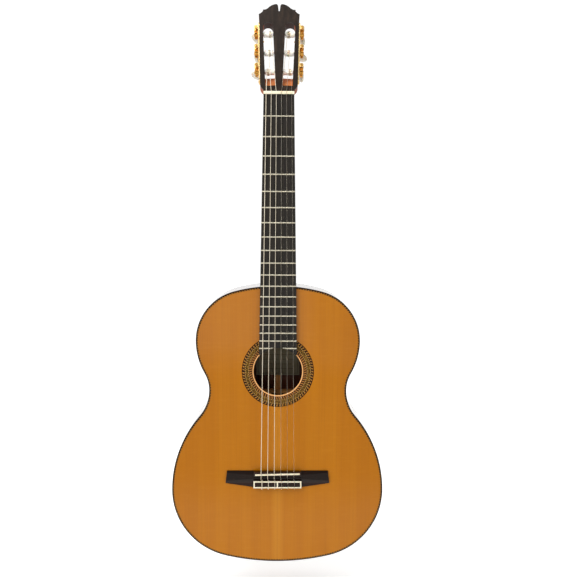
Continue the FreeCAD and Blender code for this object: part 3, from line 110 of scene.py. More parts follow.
def tone(red, green, blue):
    """A colour in the eye's steps, 0 to 255, as light."""
    return (linear(red), linear(green), linear(blue), 1)


class Look:
    """One procedural finish while its nodes are put together."""

    def __init__(self, name, settings):
        self.material = bpy.data.materials.new(name)
        self.material.use_nodes = True
        self.nodes = self.material.node_tree.nodes
        self.links = self.material.node_tree.links
        self.shader = self.nodes["Principled BSDF"]
        for socket, value in settings.items():
            self.shader.inputs[socket].default_value = value
        self.coordinates = self.nodes.new("ShaderNodeTexCoord")

    def plug(self, socket, value):
        if isinstance(value, bpy.types.NodeSocket):
            self.links.new(value, socket)
        else:
            socket.default_value = value

    def math(self, operation, first, second=0.0):
        node = self.nodes.new("ShaderNodeMath")
        node.operation = operation
        for socket, value in zip(node.inputs, (first, second)):
            self.plug(socket, value)
        return node.outputs[0]

    def split(self, vector):
        node = self.nodes.new("ShaderNodeSeparateXYZ")
        self.links.new(vector, node.inputs[0])
        return node.outputs[0], node.outputs[1], node.outputs[2]

    def join(self, x, y, z):
        node = self.nodes.new("ShaderNodeCombineXYZ")
        for socket, value in zip(node.inputs, (x, y, z)):
            self.plug(socket, value)
        return node.outputs[0]

    def stretch(self, vector, scale):
        node = self.nodes.new("ShaderNodeMapping")
        self.links.new(vector, node.inputs["Vector"])
        node.inputs["Scale"].default_value = scale
        return node.outputs[0]

    def place(self):
        return self.coordinates.outputs["Object"]

    def book(self):
        """Object coordinates with the left half opened from the right, like a book."""
        x, y, z = self.split(self.place())
        return self.join(self.math("ABSOLUTE", x), y, z)

    def noise(self, vector, scale, detail=3.0, rough=0.5, swirl=0.0):
        """Clouds; scale is how many of them a metre holds along X, Y and Z."""
        node = self.nodes.new("ShaderNodeTexNoise")
        self.links.new(self.stretch(vector, scale), node.inputs["Vector"])
        node.inputs["Scale"].default_value = 1.0
        node.inputs["Detail"].default_value = detail
        node.inputs["Roughness"].default_value = rough
        node.inputs["Distortion"].default_value = swirl
        return node.outputs[0]

    def bands_up(self, vector, size):
        """Even bands one above the other."""
        node = self.nodes.new("ShaderNodeTexWave")
        node.wave_type = "BANDS"
        node.bands_direction = "Z"
        self.links.new(vector, node.inputs["Vector"])
        node.inputs["Scale"].default_value = size
        return node.outputs["Fac"]

    def random(self, vector):
        node = self.nodes.new("ShaderNodeTexWhiteNoise")
        node.noise_dimensions = "3D"
        self.links.new(vector, node.inputs["Vector"])
        return node.outputs["Value"]

    def ramp(self, value, stops, stepped=False):
        node = self.nodes.new("ShaderNodeValToRGB")
        band = node.color_ramp
        band.interpolation = "CONSTANT" if stepped else "LINEAR"
        while len(band.elements) < len(stops):
            band.elements.new(1.0)
        for element, (position, colour) in zip(band.elements, stops):
            element.position = position
            element.color = colour if isinstance(colour, tuple) else (colour, colour, colour, 1)
        self.links.new(value, node.inputs["Fac"])
        return node.outputs["Color"]

    def mix(self, share, first, second, blend="MIX"):
        node = self.nodes.new("ShaderNodeMix")
        node.data_type = "RGBA"
        node.blend_type = blend
        self.plug(node.inputs[0], share)
        self.plug(node.inputs[6], first)
        self.plug(node.inputs[7], second)
        return node.outputs[2]

    def between(self, value, low, high, new_low=0.0, new_high=1.0):
        """A value's place between low and high, carried over to between the two new ones."""
        node = self.nodes.new("ShaderNodeMapRange")
        for socket, number in zip(node.inputs, (value, low, high, new_low, new_high)):
            self.plug(socket, number)
        return node.outputs[0]

    def bump(self, height, strength, distance=0.0002):
        node = self.nodes.new("ShaderNodeBump")
        node.inputs["Strength"].default_value = strength
        node.inputs["Distance"].default_value = distance
        self.links.new(height, node.inputs["Height"])
        self.links.new(node.outputs["Normal"], self.shader.inputs["Normal"])

    def colour(self, value):
        self.links.new(value, self.shader.inputs["Base Color"])

    def roughness(self, value):
        self.links.new(value, self.shader.inputs["Roughness"])


SPRUCE_SHADES = (tone(161, 94, 0), tone(171, 103, 0), tone(182, 114, 4))


def spruce_top():
    """Book-matched spruce under amber lacquer, fine straight grain, lighter near the join."""
    look = Look("spruce_top", {"Roughness": 0.36, "Specular IOR Level": 0.05, "Coat Weight": 0.38,
                               "Coat Roughness": 0.1})
    wood = look.book()
    broad = look.noise(wood, (16, 16, 0.7), 3.0, 0.55)
    grain = look.noise(wood, (420, 420, 3.0), 4.0, 0.62)
    fine = look.noise(wood, (1500, 1500, 9.0), 2.0, 0.5)
    silk = look.noise(look.place(), (30, 30, 220), 3.0, 0.6, 0.6)
    cloud = look.noise(look.place(), (4, 4, 3), 2.0)
    deep, middle, light = SPRUCE_SHADES
    base = look.ramp(broad, ((0.28, deep), (0.5, middle), (0.74, light)))
    base = look.mix(look.between(cloud, 0.35, 0.7, 0.0, 0.3), base, deep)
    lines = look.ramp(grain, ((0.36, 0.91), (0.52, 1.0), (0.66, 0.97)))
    base = look.mix(0.8, base, lines, "MULTIPLY")
    base = look.mix(look.between(fine, 0.35, 0.7, 0.0, 0.1), base, tone(126, 62, 4))
    base = look.mix(look.between(silk, 0.5, 0.8, 0.0, 0.06), base, tone(222, 154, 50))
    x, _, z = look.split(look.place())
    centre = look.between(look.math("ABSOLUTE", x), 0.004, 0.014, 0.22, 0.0)
    base = look.mix(centre, base, tone(206, 142, 40))
    join = look.between(look.math("ABSOLUTE", x), 0.00012, 0.0004, 0.3, 0.0)
    base = look.mix(join, base, tone(120, 62, 10))
    reach = hole_distance(look, x, z)
    lip_width, ring_start, ring_past = 0.0017, 0.0019, 0.0005
    lip = look.math("LESS_THAN", reach, HOLE_RADIUS + lip_width)
    base = look.mix(look.math("MULTIPLY", lip, 0.8), base, tone(244, 184, 120))
    ring = look.math("MULTIPLY", look.math("GREATER_THAN", reach, HOLE_RADIUS + ring_start),
                     look.math("LESS_THAN", reach, ROSETTE_INNER + ring_past))
    base = look.mix(look.math("MULTIPLY", ring, 0.9), base, tone(42, 20, 10))
    look.colour(base)
    look.roughness(look.between(grain, 0.3, 0.7, 0.3, 0.42))
    look.bump(grain, 0.05, 0.0001)
    return look.material


def hole_distance(look, x, z):
    """How far a point is from the middle of the soundhole."""
    up = look.math("SUBTRACT", z, HOLE_Z)
    square = look.math("ADD", look.math("MULTIPLY", x, x), look.math("MULTIPLY", up, up))
    return look.math("SQRT", square)


def slanted_dashes(look, along, across, pitch, slant, dark_share=0.5):
    """1 and 0 in turn along a band, on a slant, as a twisted rope looks."""
    run = look.math("ADD", look.math("DIVIDE", along, pitch), look.math("MULTIPLY", across, slant))
    return look.math("GREATER_THAN", look.math("FRACT", run), dark_share)


# The rosette's mosaic, in metres but for its repeat, which is in tiles.
MOSAIC_RADIUS = 0.055
MOSAIC_TILE = 0.0013
MOSAIC_REPEAT = 4.0
OUTER_ROPE_PITCH = 0.0046
INNER_ROPE_PITCH = 0.0048
DOT_PITCH = 0.0036


def rosette_inlay():
    """Rings of dyed wood tiles, set by distance and angle from the soundhole's middle."""
    look = Look("rosette_inlay", {"Roughness": 0.42, "Specular IOR Level": 0.08})
    x, _, z = look.split(look.place())
    reach = hole_distance(look, x, z)
    angle = look.math("ARCTAN2", look.math("SUBTRACT", z, HOLE_Z), x)
    arc = look.math("MULTIPLY", angle, MOSAIC_RADIUS)
    share = look.between(reach, ROSETTE_INNER, ROSETTE_OUTER)

    dark = tone(28, 13, 6)
    cream = tone(190, 148, 80)
    # The middle band: square tiles of green, gold and brown in a woven pattern.
    row = look.math("FLOOR", look.math("DIVIDE", look.math("SUBTRACT", reach, ROSETTE_INNER), MOSAIC_TILE))
    column = look.math("FLOOR", look.math("DIVIDE", arc, MOSAIC_TILE))
    shade = look.random(look.join(row, column, 0.0))
    weave = look.math("PINGPONG", look.math("ADD", row, column), MOSAIC_REPEAT)
    zigzag = look.math("PINGPONG", look.math("SUBTRACT", column, row), MOSAIC_REPEAT)
    tiles = look.ramp(shade, (
        (0.0, tone(60, 50, 10)), (0.22, tone(102, 76, 18)), (0.42, tone(136, 98, 30)),
        (0.6, tone(86, 44, 12)), (0.78, tone(34, 22, 8)), (0.92, tone(156, 112, 48))), True)
    cross = look.math("MAXIMUM", look.math("GREATER_THAN", weave, 3.2),
                      look.math("GREATER_THAN", zigzag, 3.2))
    tiles = look.mix(look.math("MULTIPLY", cross, 0.5), tiles, tone(170, 126, 54))
    heart = look.math("MULTIPLY", look.math("LESS_THAN", weave, 0.8), look.math("LESS_THAN", zigzag, 0.8))
    tiles = look.mix(look.math("MULTIPLY", heart, 0.85), tiles, tone(120, 40, 18))
    # Rope rings of slanted tiles on both sides of it, and a dotted line beside each.
    lean = look.math("MULTIPLY", reach, 160.0)
    outer_dash = slanted_dashes(look, arc, lean, OUTER_ROPE_PITCH, 0.5, 0.58)
    inner_dash = slanted_dashes(look, arc, lean, INNER_ROPE_PITCH, -0.5, 0.54)
    dots = slanted_dashes(look, arc, lean, DOT_PITCH, 0.0, 0.4)
    speck = look.math("LESS_THAN", shade, 0.3)
    outer_rope = look.mix(outer_dash, dark, tone(186, 130, 58))
    outer_rope = look.mix(look.math("MULTIPLY", speck, 0.3), outer_rope, dark)
    inner_rope = look.mix(inner_dash, dark, tone(178, 118, 56))
    dotted = look.mix(dots, tone(70, 46, 20), cream)

    band = inner_rope
    for start, stripe in ((0.25, dark), (0.285, dotted), (0.37, dark), (0.39, tiles), (0.60, dark),
                          (0.62, dotted), (0.70, dark), (0.75, outer_rope), (0.93, dark)):
        band = look.mix(look.math("GREATER_THAN", share, start), band, stripe)
    grain = look.noise(look.place(), (900, 900, 900), 2.0)
    band = look.mix(look.between(grain, 0.3, 0.7, 0.1, 0.34), band, dark)
    look.colour(band)
    look.roughness(look.between(grain, 0.3, 0.7, 0.36, 0.46))
    look.bump(grain, 0.05, 0.0001)
    return look.material


def rosewood(name, wood_scale, shades, lacquer=0.6, specular=0.35):
    """Dark streaked rosewood with its pores; wood_scale stretches the figure."""
    look = Look(name, {"Roughness": 0.3, "Coat Weight": lacquer, "Coat Roughness": 0.08,
                       "Specular IOR Level": specular})
    wood = look.book()
    across, depth, along = wood_scale
    wander = look.noise(wood, (across * 0.12, depth * 0.12, along * 0.6), 2.0, 0.5, 0.4)
    x, y, z = look.split(wood)
    swayed = look.join(look.math("ADD", x, look.math("MULTIPLY", wander, 0.02)),
                       look.math("ADD", y, look.math("MULTIPLY", wander, 0.02)), z)
    figure = look.noise(swayed, (across, depth, along), 4.0, 0.6, 0.3)
    streak = look.noise(swayed, (across * 5, depth * 5, along * 1.5), 3.0, 0.6)
    pores = look.noise(wood, (across * 26, depth * 26, along * 14), 2.0, 0.5)
    dark, middle, warm = shades
    base = look.ramp(figure, ((0.3, dark), (0.46, middle), (0.62, warm), (0.78, middle)))
    base = look.mix(look.between(streak, 0.42, 0.66, 0.0, 0.75), base, dark)
    base = look.mix(look.between(pores, 0.6, 0.72, 0.0, 0.6), base, tone(14, 8, 6))
    look.colour(base)
    look.roughness(look.between(streak, 0.3, 0.7, 0.24, 0.38))
    look.bump(pores, 0.08, 0.0001)
    return look.material


ROSEWOOD_SHADES = (tone(38, 19, 14), tone(76, 38, 25), tone(112, 60, 38))


def rosewood_back():
    return rosewood("rosewood_back", (38, 38, 1.6), ROSEWOOD_SHADES)


def rosewood_sides():
    """The grain runs round the ribs."""
    return rosewood("rosewood_sides", (1.6, 60, 1.6), ROSEWOOD_SHADES, 1.0)


def rosewood_binding():
    return rosewood("rosewood_binding", (6, 90, 6), (tone(14, 8, 6), tone(26, 14, 9), tone(40, 20, 12)),
                    0.0, 0.03)


def rosewood_bridge():
    return rosewood("rosewood_bridge", (3, 90, 90), (tone(14, 5, 2), tone(26, 11, 4), tone(40, 18, 7)),
                    0.28, 0.1)


def rope_purfling():
    """Slanted dashes of dark and light wood between two thin lines, along the edge."""
    look = Look("rope_purfling", {"Roughness": 0.42, "Specular IOR Level": 0.12})
    along, across, _ = look.split(look.coordinates.outputs["UV"])
    share = look.math("DIVIDE", across, PURFLING)
    dashes = slanted_dashes(look, along, share, OUTER_ROPE_PITCH, 0.5, 0.68)
    dark = tone(22, 11, 5)
    band = look.mix(dashes, dark, tone(200, 138, 58))
    band = look.mix(look.math("GREATER_THAN", share, 0.7), band, dark)
    band = look.mix(look.math("GREATER_THAN", share, 0.9), band, tone(180, 116, 36))
    grain = look.noise(look.place(), (700, 700, 700), 2.0)
    band = look.mix(look.between(grain, 0.3, 0.7, 0.0, 0.25), band, dark)
    look.colour(band)
    look.roughness(look.between(grain, 0.3, 0.7, 0.36, 0.46))
    look.bump(grain, 0.05, 0.0001)
    return look.material


def strip_inlay():
    """Pale and dark lines side by side along the back's strip and the tail's wedge."""
    look = Look("strip_inlay", {"Roughness": 0.32, "Coat Weight": 0.5, "Coat Roughness": 0.1,
                                "Specular IOR Level": 0.3})
    x, _, z = look.split(look.place())
    side = look.math("ABSOLUTE", x)
    strip_half, dash_pitch = 0.002, 0.006
    share = look.between(side, 0.0, strip_half)
    lines = look.ramp(share, (
        (0.0, tone(196, 138, 76)), (0.24, tone(36, 18, 12)), (0.36, tone(210, 160, 96)),
        (0.5, tone(120, 44, 24)), (0.7, tone(36, 18, 12)), (0.84, tone(206, 152, 88))), True)
    dash = slanted_dashes(look, z, share, dash_pitch, 0.8)
    heart = look.math("MULTIPLY", dash, look.math("LESS_THAN", share, 0.24))
    lines = look.mix(heart, lines, tone(78, 36, 18))
    wood = look.noise(look.place(), (300, 300, 8), 3.0)
    lines = look.mix(look.between(wood, 0.3, 0.7, 0.0, 0.35), lines, tone(70, 34, 18))
    look.colour(lines)
    look.roughness(look.between(wood, 0.3, 0.7, 0.26, 0.38))
    look.bump(wood, 0.06, 0.0001)
    return look.material


# Where the head's slots lie: their outer walls across, and their ends up the head.
SLOTS_HALF = 0.0262
SLOTS_LOW = 0.012
SLOTS_HIGH = 0.128


def bare_cedar(name, light, dark, settings, along=(160, 160, 4), slot_light_and_shade=False):
    """Straight-grained cedar with small pores; with the slot flag it also paints light and shade in the
    head's slots: painted light on their lower ramps and painted shade on their walls higher up.
    """
    look = Look(name, settings)
    wood = look.place()
    broad = look.noise(wood, (along[0] * 0.15, along[1] * 0.15, along[2] * 0.4), 3.0, 0.5, 0.3)
    grain = look.noise(wood, along, 4.0, 0.6)
    pores = look.noise(wood, (along[0] * 9, along[1] * 9, along[2] * 12), 2.0)
    base = look.mix(look.between(broad, 0.3, 0.7), dark, light)
    base = look.mix(look.between(grain, 0.4, 0.68, 0.0, 0.55), base, dark)
    base = look.mix(look.between(pores, 0.6, 0.72, 0.0, 0.5), base, tone(66, 30, 14))
    if slot_light_and_shade:
        x, _, z = look.split(look.place())
        # Only the slots' own walls: between their ends, and never the head's back face.
        _, facing_back, _ = look.split(look.coordinates.outputs["Normal"])
        inside = look.math("MULTIPLY", look.math("LESS_THAN", look.math("ABSOLUTE", x), SLOTS_HALF),
                           look.math("GREATER_THAN", z, SLOTS_LOW))
        inside = look.math("MULTIPLY", inside, look.math("LESS_THAN", z, SLOTS_HIGH))
        inside = look.math("MULTIPLY", inside, look.math("LESS_THAN", facing_back, 0.5))
        # Painted light: the slots' lower ramps, which face front and up, are made a lighter orange.
        painted_ramp_light = look.math("MULTIPLY", inside, look.between(z, 0.036, 0.044, 0.5, 0.0))
        base = look.mix(painted_ramp_light, base, tone(236, 150, 84))
        # Painted shade: the slot walls higher up, which face down away from the light, fade to near
        # black-brown.
        painted_slot_shade = look.math("MULTIPLY", inside, look.between(z, 0.042, 0.062, 0.0, 0.94))
        base = look.mix(painted_slot_shade, base, tone(40, 15, 6))
    look.colour(base)
    rough = settings["Roughness"]
    look.roughness(look.between(grain, 0.3, 0.7, rough - 0.05, rough + 0.06))
    look.bump(pores, 0.12, 0.0001)
    return look.material


def cedar_inner():
    return bare_cedar("cedar_inner", tone(255, 192, 112), tone(226, 150, 78), {"Roughness": 0.72})


def cedar_neck():
    return bare_cedar("cedar_neck", tone(166, 82, 34), tone(118, 54, 22),
                      {"Roughness": 0.46, "Specular IOR Level": 0.12}, slot_light_and_shade=True)


def head_facing():
    """Very dark rosewood under lacquer on the head."""
    look = Look("head_facing", {"Roughness": 0.4, "Specular IOR Level": 0.15})
    wood = look.place()
    grain = look.noise(wood, (150, 150, 5), 4.0, 0.6, 0.2)
    pores = look.noise(wood, (1100, 1100, 60), 2.0)
    base = look.ramp(grain, ((0.32, tone(30, 22, 16)), (0.55, tone(40, 30, 23)), (0.72, tone(52, 38, 27))))
    base = look.mix(look.between(pores, 0.58, 0.72, 0.0, 0.6), base, tone(18, 12, 10))
    look.colour(base)
    look.roughness(look.between(grain, 0.3, 0.7, 0.3, 0.42))
    look.bump(pores, 0.08, 0.0001)
    return look.material


def ebony_board():
    """Ebony, nearly black with faint brown streaks, with a hand-rubbed sheen."""
    look = Look("ebony_board", {"Roughness": 0.42, "Specular IOR Level": 0.1})
    wood = look.place()
    grain = look.noise(wood, (260, 260, 6), 4.0, 0.6)
    pores = look.noise(wood, (1500, 1500, 70), 2.0)
    base = look.ramp(grain, ((0.3, tone(32, 30, 28)), (0.55, tone(42, 39, 36)), (0.75, tone(54, 48, 42))))
    base = look.mix(look.between(pores, 0.58, 0.7, 0.0, 0.6), base, tone(18, 16, 16))
    rub = look.noise(wood, (40, 40, 12), 3.0)
    look.colour(base)
    look.roughness(look.between(rub, 0.3, 0.7, 0.34, 0.48))
    look.bump(pores, 0.12, 0.0001)
    return look.material


def metal(name, shade, tarnish_and_shade, rough, scratch_scale, metallic=1.0):
    """Polished metal with fine lines and random darker patches: a little tarnish, and on the gears and worms
    painted shade for the dark gaps between teeth and threads.
    """
    look = Look(name, {"Metallic": metallic, "Roughness": rough})
    lines = look.noise(look.place(), scratch_scale, 3.0, 0.6)
    patch = look.noise(look.place(), (300, 300, 300), 3.0, 0.6, 0.5)
    base = look.mix(look.between(patch, 0.4, 0.7, 0.0, 0.8), shade, tarnish_and_shade)
    look.colour(base)
    look.roughness(look.between(lines, 0.3, 0.7, rough * 0.75, rough * 1.3))
    look.bump(lines, 0.06, 0.00005)
    return look.material


def fret_wire():
    return metal("fret_wire", tone(204, 198, 178), tone(178, 168, 144), 0.3, (60, 2500, 2500), 0.55)


def gilt_plate():
    return metal("gilt_plate", tone(255, 224, 160), tone(238, 190, 112), 0.3, (2200, 2200, 60), 0.8)


def gilt_screws():
    return metal("gilt_screws", tone(236, 186, 98), tone(180, 120, 46), 0.22, (1500, 1500, 1500))


def gilt_worm():
    # The dark second tone, in random patches, is painted shade for the gaps between the worm's threads.
    return metal("gilt_worm", tone(244, 196, 112), tone(96, 52, 14), 0.24, (2500, 2500, 2500))


def brass_gear():
    # The dark second tone, in random patches, is painted shade for the gaps between the gear's teeth.
    return metal("brass_gear", tone(238, 180, 88), tone(92, 48, 12), 0.28, (1800, 1800, 1800))


def wound_string():
    """Silver-plated wire wound close round a floss core."""
    look = Look("wound_string", {"Metallic": 0.45, "Roughness": 0.38})
    turns = look.bands_up(look.place(), 900.0)
    patch = look.noise(look.place(), (400, 400, 40), 3.0)
    base = look.mix(look.between(patch, 0.3, 0.7, 0.0, 0.6), tone(236, 226, 206), tone(216, 198, 168))
    base = look.mix(look.between(turns, 0.0, 0.35, 0.25, 0.0), base, tone(120, 100, 76))
    look.colour(base)
    look.roughness(look.between(patch, 0.3, 0.7, 0.3, 0.46))
    look.bump(turns, 0.5, 0.00006)
    return look.material


def clear_nylon():
    """Smooth clear nylon, very slightly clouded."""
    look = Look("clear_nylon", {"Roughness": 0.3, "IOR": 1.15, "Transmission Weight": 0.92,
                                "Specular IOR Level": 0.15})
    cloud = look.noise(look.place(), (500, 500, 30), 2.0)
    base = look.mix(look.between(cloud, 0.3, 0.7), tone(246, 240, 228), tone(230, 220, 200))
    look.colour(base)
    look.roughness(look.between(cloud, 0.3, 0.7, 0.3, 0.38))
    return look.material


def bone():
    look = Look("bone", {"Roughness": 0.36, "Specular IOR Level": 0.5, "Subsurface Weight": 0.08,
                         "Subsurface Scale": 0.001})
    fibre = look.noise(look.place(), (90, 900, 900), 4.0, 0.6)
    cloud = look.noise(look.place(), (70, 70, 70), 3.0)
    base = look.mix(look.between(cloud, 0.3, 0.7), tone(232, 225, 202), tone(222, 212, 180))
    base = look.mix(look.between(fibre, 0.55, 0.75, 0.0, 0.25), base, tone(222, 204, 164))
    look.colour(base)
    look.roughness(look.between(fibre, 0.3, 0.7, 0.3, 0.44))
    look.bump(fibre, 0.05, 0.0001)
    return look.material


def white_roller():
    """White moulded plastic with a light sheen."""
    look = Look("white_roller", {"Roughness": 0.3, "Subsurface Weight": 0.1, "Subsurface Scale": 0.001})
    cloud = look.noise(look.place(), (120, 120, 120), 3.0)
    rub = look.noise(look.place(), (900, 900, 900), 3.0)
    base = look.mix(look.between(cloud, 0.3, 0.7), tone(255, 252, 244), tone(244, 238, 224))
    look.colour(base)
    look.roughness(look.between(rub, 0.3, 0.7, 0.24, 0.38))
    look.bump(rub, 0.05, 0.0001)
    return look.material


def pearl_button():
    """Pearly moulded plastic: pale swirls under a clear coat."""
    look = Look("pearl_button", {"Roughness": 0.28, "Coat Weight": 0.25, "Coat Roughness": 0.08,
                                 "Subsurface Weight": 0.2, "Subsurface Scale": 0.002})
    swirl = look.noise(look.place(), (90, 130, 70), 4.0, 0.55, 2.4)
    veil = look.noise(look.place(), (220, 160, 300), 3.0, 0.5, 1.4)
    base = look.ramp(swirl, (
        (0.3, tone(138, 124, 104)), (0.45, tone(178, 165, 142)), (0.56, tone(212, 201, 180)),
        (0.7, tone(158, 145, 126))))
    base = look.mix(look.between(veil, 0.45, 0.75, 0.0, 0.3), base, tone(176, 166, 156))
    look.colour(base)
    look.roughness(look.between(veil, 0.3, 0.7, 0.22, 0.36))
    look.bump(swirl, 0.04, 0.0001)
    return look.material


def label_paper():
    """Old paper with a plain ruled border and blank ruled lines."""
    look = Look("label_paper", {"Roughness": 0.85, "Specular IOR Level": 0.2})
    x, _, z = look.split(look.place())
    low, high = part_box("label")
    middle_x = (low[0] + high[0]) / 2
    middle_z = (low[2] + high[2]) / 2
    side = look.math("ABSOLUTE", look.math("SUBTRACT", x, middle_x))
    up = look.math("SUBTRACT", z, middle_z)
    rise = look.math("ABSOLUTE", up)
    half_x = (high[0] - low[0]) / 2
    half_z = (high[2] - low[2]) / 2
    rim = look.math("MINIMUM", look.math("SUBTRACT", half_x, side), look.math("SUBTRACT", half_z, rise))
    border = look.ramp(look.math("MULTIPLY", rim, 100.0), (
        (0.0, 0.0), (0.3, 1.0), (0.36, 0.0), (0.44, 1.0), (0.46, 0.0)), True)
    rule_gap, margin = 0.009, 0.012
    rule = look.math("LESS_THAN", look.math("FRACT", look.math("DIVIDE", up, rule_gap)), 0.07)
    inside = look.math("MULTIPLY", look.math("LESS_THAN", side, half_x - margin),
                       look.math("LESS_THAN", rise, half_z - margin))
    ink = look.math("MAXIMUM", border, look.math("MULTIPLY", rule, inside))
    fibre = look.noise(look.place(), (500, 500, 500), 4.0)
    age = look.noise(look.place(), (40, 40, 40), 3.0)
    base = look.mix(look.between(age, 0.3, 0.7), tone(150, 144, 122), tone(132, 122, 98))
    base = look.mix(look.between(fibre, 0.5, 0.8, 0.0, 0.3), base, tone(176, 160, 124))
    base = look.mix(look.math("MULTIPLY", ink, 0.8), base, tone(70, 56, 44))
    look.colour(base)
    look.roughness(look.between(fibre, 0.3, 0.7, 0.8, 0.92))
    look.bump(fibre, 0.1, 0.0001)
    return look.material


FINISHES = {
    "spruce_top": spruce_top(), "rosette_inlay": rosette_inlay(), "rosewood_back": rosewood_back(),
    "strip_inlay": strip_inlay(), "rosewood_sides": rosewood_sides(), "rosewood_binding": rosewood_binding(),
    "rope_purfling": rope_purfling(), "cedar_inner": cedar_inner(), "label_paper": label_paper(),
    "cedar_neck": cedar_neck(), "head_facing": head_facing(), "ebony_board": ebony_board(),
    "fret_wire": fret_wire(), "bone": bone(), "rosewood_bridge": rosewood_bridge(),
    "gilt_plate": gilt_plate(), "gilt_screws": gilt_screws(), "pearl_button": pearl_button(),
    "gilt_worm": gilt_worm(), "brass_gear": brass_gear(), "white_roller": white_roller(),
    "clear_nylon": clear_nylon(), "wound_string": wound_string(),
}
NODE_SLOTS = {
    "soundboard": "spruce_top", "rosette": "rosette_inlay", "back_bass": "rosewood_back",
    "back_treble": "rosewood_back", "back_strip": "strip_inlay", "end_graft": "strip_inlay",
    "side_bass": "rosewood_sides", "side_treble": "rosewood_sides", "top_binding": "rosewood_binding",
    "back_binding": "rosewood_binding", "top_purfling": "rope_purfling", "tail_block": "cedar_inner",
    "linings": "cedar_inner", "soundboard_braces": "cedar_inner", "back_braces": "cedar_inner",
    "back_seam_strip": "cedar_inner", "label": "label_paper", "neck": "cedar_neck", "head": "cedar_neck",
    "head_veneer": "head_facing", "heel_cap": "head_facing", "fingerboard": "ebony_board",
    "frets": "fret_wire", "nut": "bone", "saddle": "bone", "tie_block_inlay": "bone",
    "bridge": "rosewood_bridge", "tuner_plate_bass": "gilt_plate", "tuner_plate_treble": "gilt_plate",
    "tuner_screws": "gilt_screws",
}
for number in range(1, 7):
    NODE_SLOTS["string_%d" % number] = "clear_nylon" if number <= 3 else "wound_string"
    NODE_SLOTS["button_%d" % number] = "pearl_button"
    NODE_SLOTS["worm_%d" % number] = "gilt_worm"
    NODE_SLOTS["gear_%d" % number] = "brass_gear"
    NODE_SLOTS["roller_%d" % number] = "white_roller"


def dress_nodes():
    """Every CAD node takes the finish of its slot."""
    for name, slot in NODE_SLOTS.items():
        node = frame["nodes"][name]
        for place in node.material_slots:
            place.material = FINISHES[slot]


# ---------------------------------------------------------------- mesh helpers

def finished(name, bm, slot, replaced):
    """A bmesh made into a piece of the soundbox that stands for a CAD node."""
    bmesh.ops.remove_doubles(bm, verts=bm.verts[:], dist=SAME_PLACE)
    bmesh.ops.recalc_face_normals(bm, faces=bm.faces[:])
    for face in bm.faces:
        face.smooth = True
    for edge in bm.edges:
        if len(edge.link_faces) == 2 and edge.calc_face_angle(0.0) > SMOOTH_LIMIT:
            edge.smooth = False
    mesh = bpy.data.meshes.new(name)
    bm.to_mesh(mesh)
    bm.free()
    mesh.materials.append(FINISHES[slot])
    piece = bpy.data.objects.new(name, mesh)
    bpy.context.collection.objects.link(piece)
    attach(piece, "root")
    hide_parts(replaced)


def edge_arcs():
    """The soundbox's right half from top to tail: each arc's centre and +1 where it bulges out."""
    upper, waist, lower = -0.421, -0.508, -0.687
    half_upper, half_waist, half_lower = 0.143, 0.120, 0.186
    shoulder, upper_flank, lower_flank, corner = 0.089, 0.116, 0.203, 0.1225
    rise = upper - BODY_TOP
    run = half_upper - shoulder
    crown = (shoulder ** 2 - run ** 2 - rise ** 2) / (2 * (rise + shoulder))
    rise = lower - TAIL
    run = half_lower - corner
    tail = (run ** 2 + rise ** 2 - corner ** 2) / (2 * (rise - corner))
    width = half_upper - half_waist
    hollow = ((upper - waist) ** 2 + width ** 2) / (2 * width) - upper_flank
    width = half_lower - half_waist
    dip = ((waist - lower) ** 2 + width ** 2) / (2 * width) - lower_flank
    return (
        (0, BODY_TOP - crown, crown, 1), (half_upper - shoulder, upper, shoulder, 1),
        (half_upper - upper_flank, upper, upper_flank, 1), (half_waist + hollow, waist, hollow, -1),
        (half_waist + dip, waist, dip, -1), (half_lower - lower_flank, lower, lower_flank, 1),
        (half_lower - corner, lower, corner, 1), (0, TAIL + tail, tail, 1),
    )


def edge_joints(arcs):
    """Where the arcs meet, from the top's middle to the tail's middle."""
    joints = [Vector((0, 0, BODY_TOP))]
    for (x1, z1, r1, b1), (x2, z2, r2, b2) in zip(arcs, arcs[1:]):
        first, second = Vector((x1, 0, z1)), Vector((x2, 0, z2))
        if b1 != b2 or r1 > r2:
            joints.append(first + (second - first).normalized() * r1)
        else:
            joints.append(second + (first - second).normalized() * r2)
    joints.append(Vector((0, 0, TAIL)))
    return joints


EDGE_ARCS = edge_arcs()
EDGE_JOINTS = edge_joints(EDGE_ARCS)
STEP_LENGTH = 0.004             # one step of a sweep round the soundbox's edge
HOLE_STEPS = 144                # steps of one turn round the soundhole


def edge_turns():
    """For each arc: its centre, the angle turned round Y, its steps and its length."""
    turns = []
    for (x, z, radius, _), start, end in zip(EDGE_ARCS, EDGE_JOINTS, EDGE_JOINTS[1:]):
        before = math.atan2(start.x - x, start.z - z)
        after = math.atan2(end.x - x, end.z - z)
        angle = (after - before + math.pi) % (2 * math.pi) - math.pi
        length = abs(angle) * radius
        turns.append((Vector((x, 0, z)), angle, max(2, round(length / STEP_LENGTH)), length))
    return turns


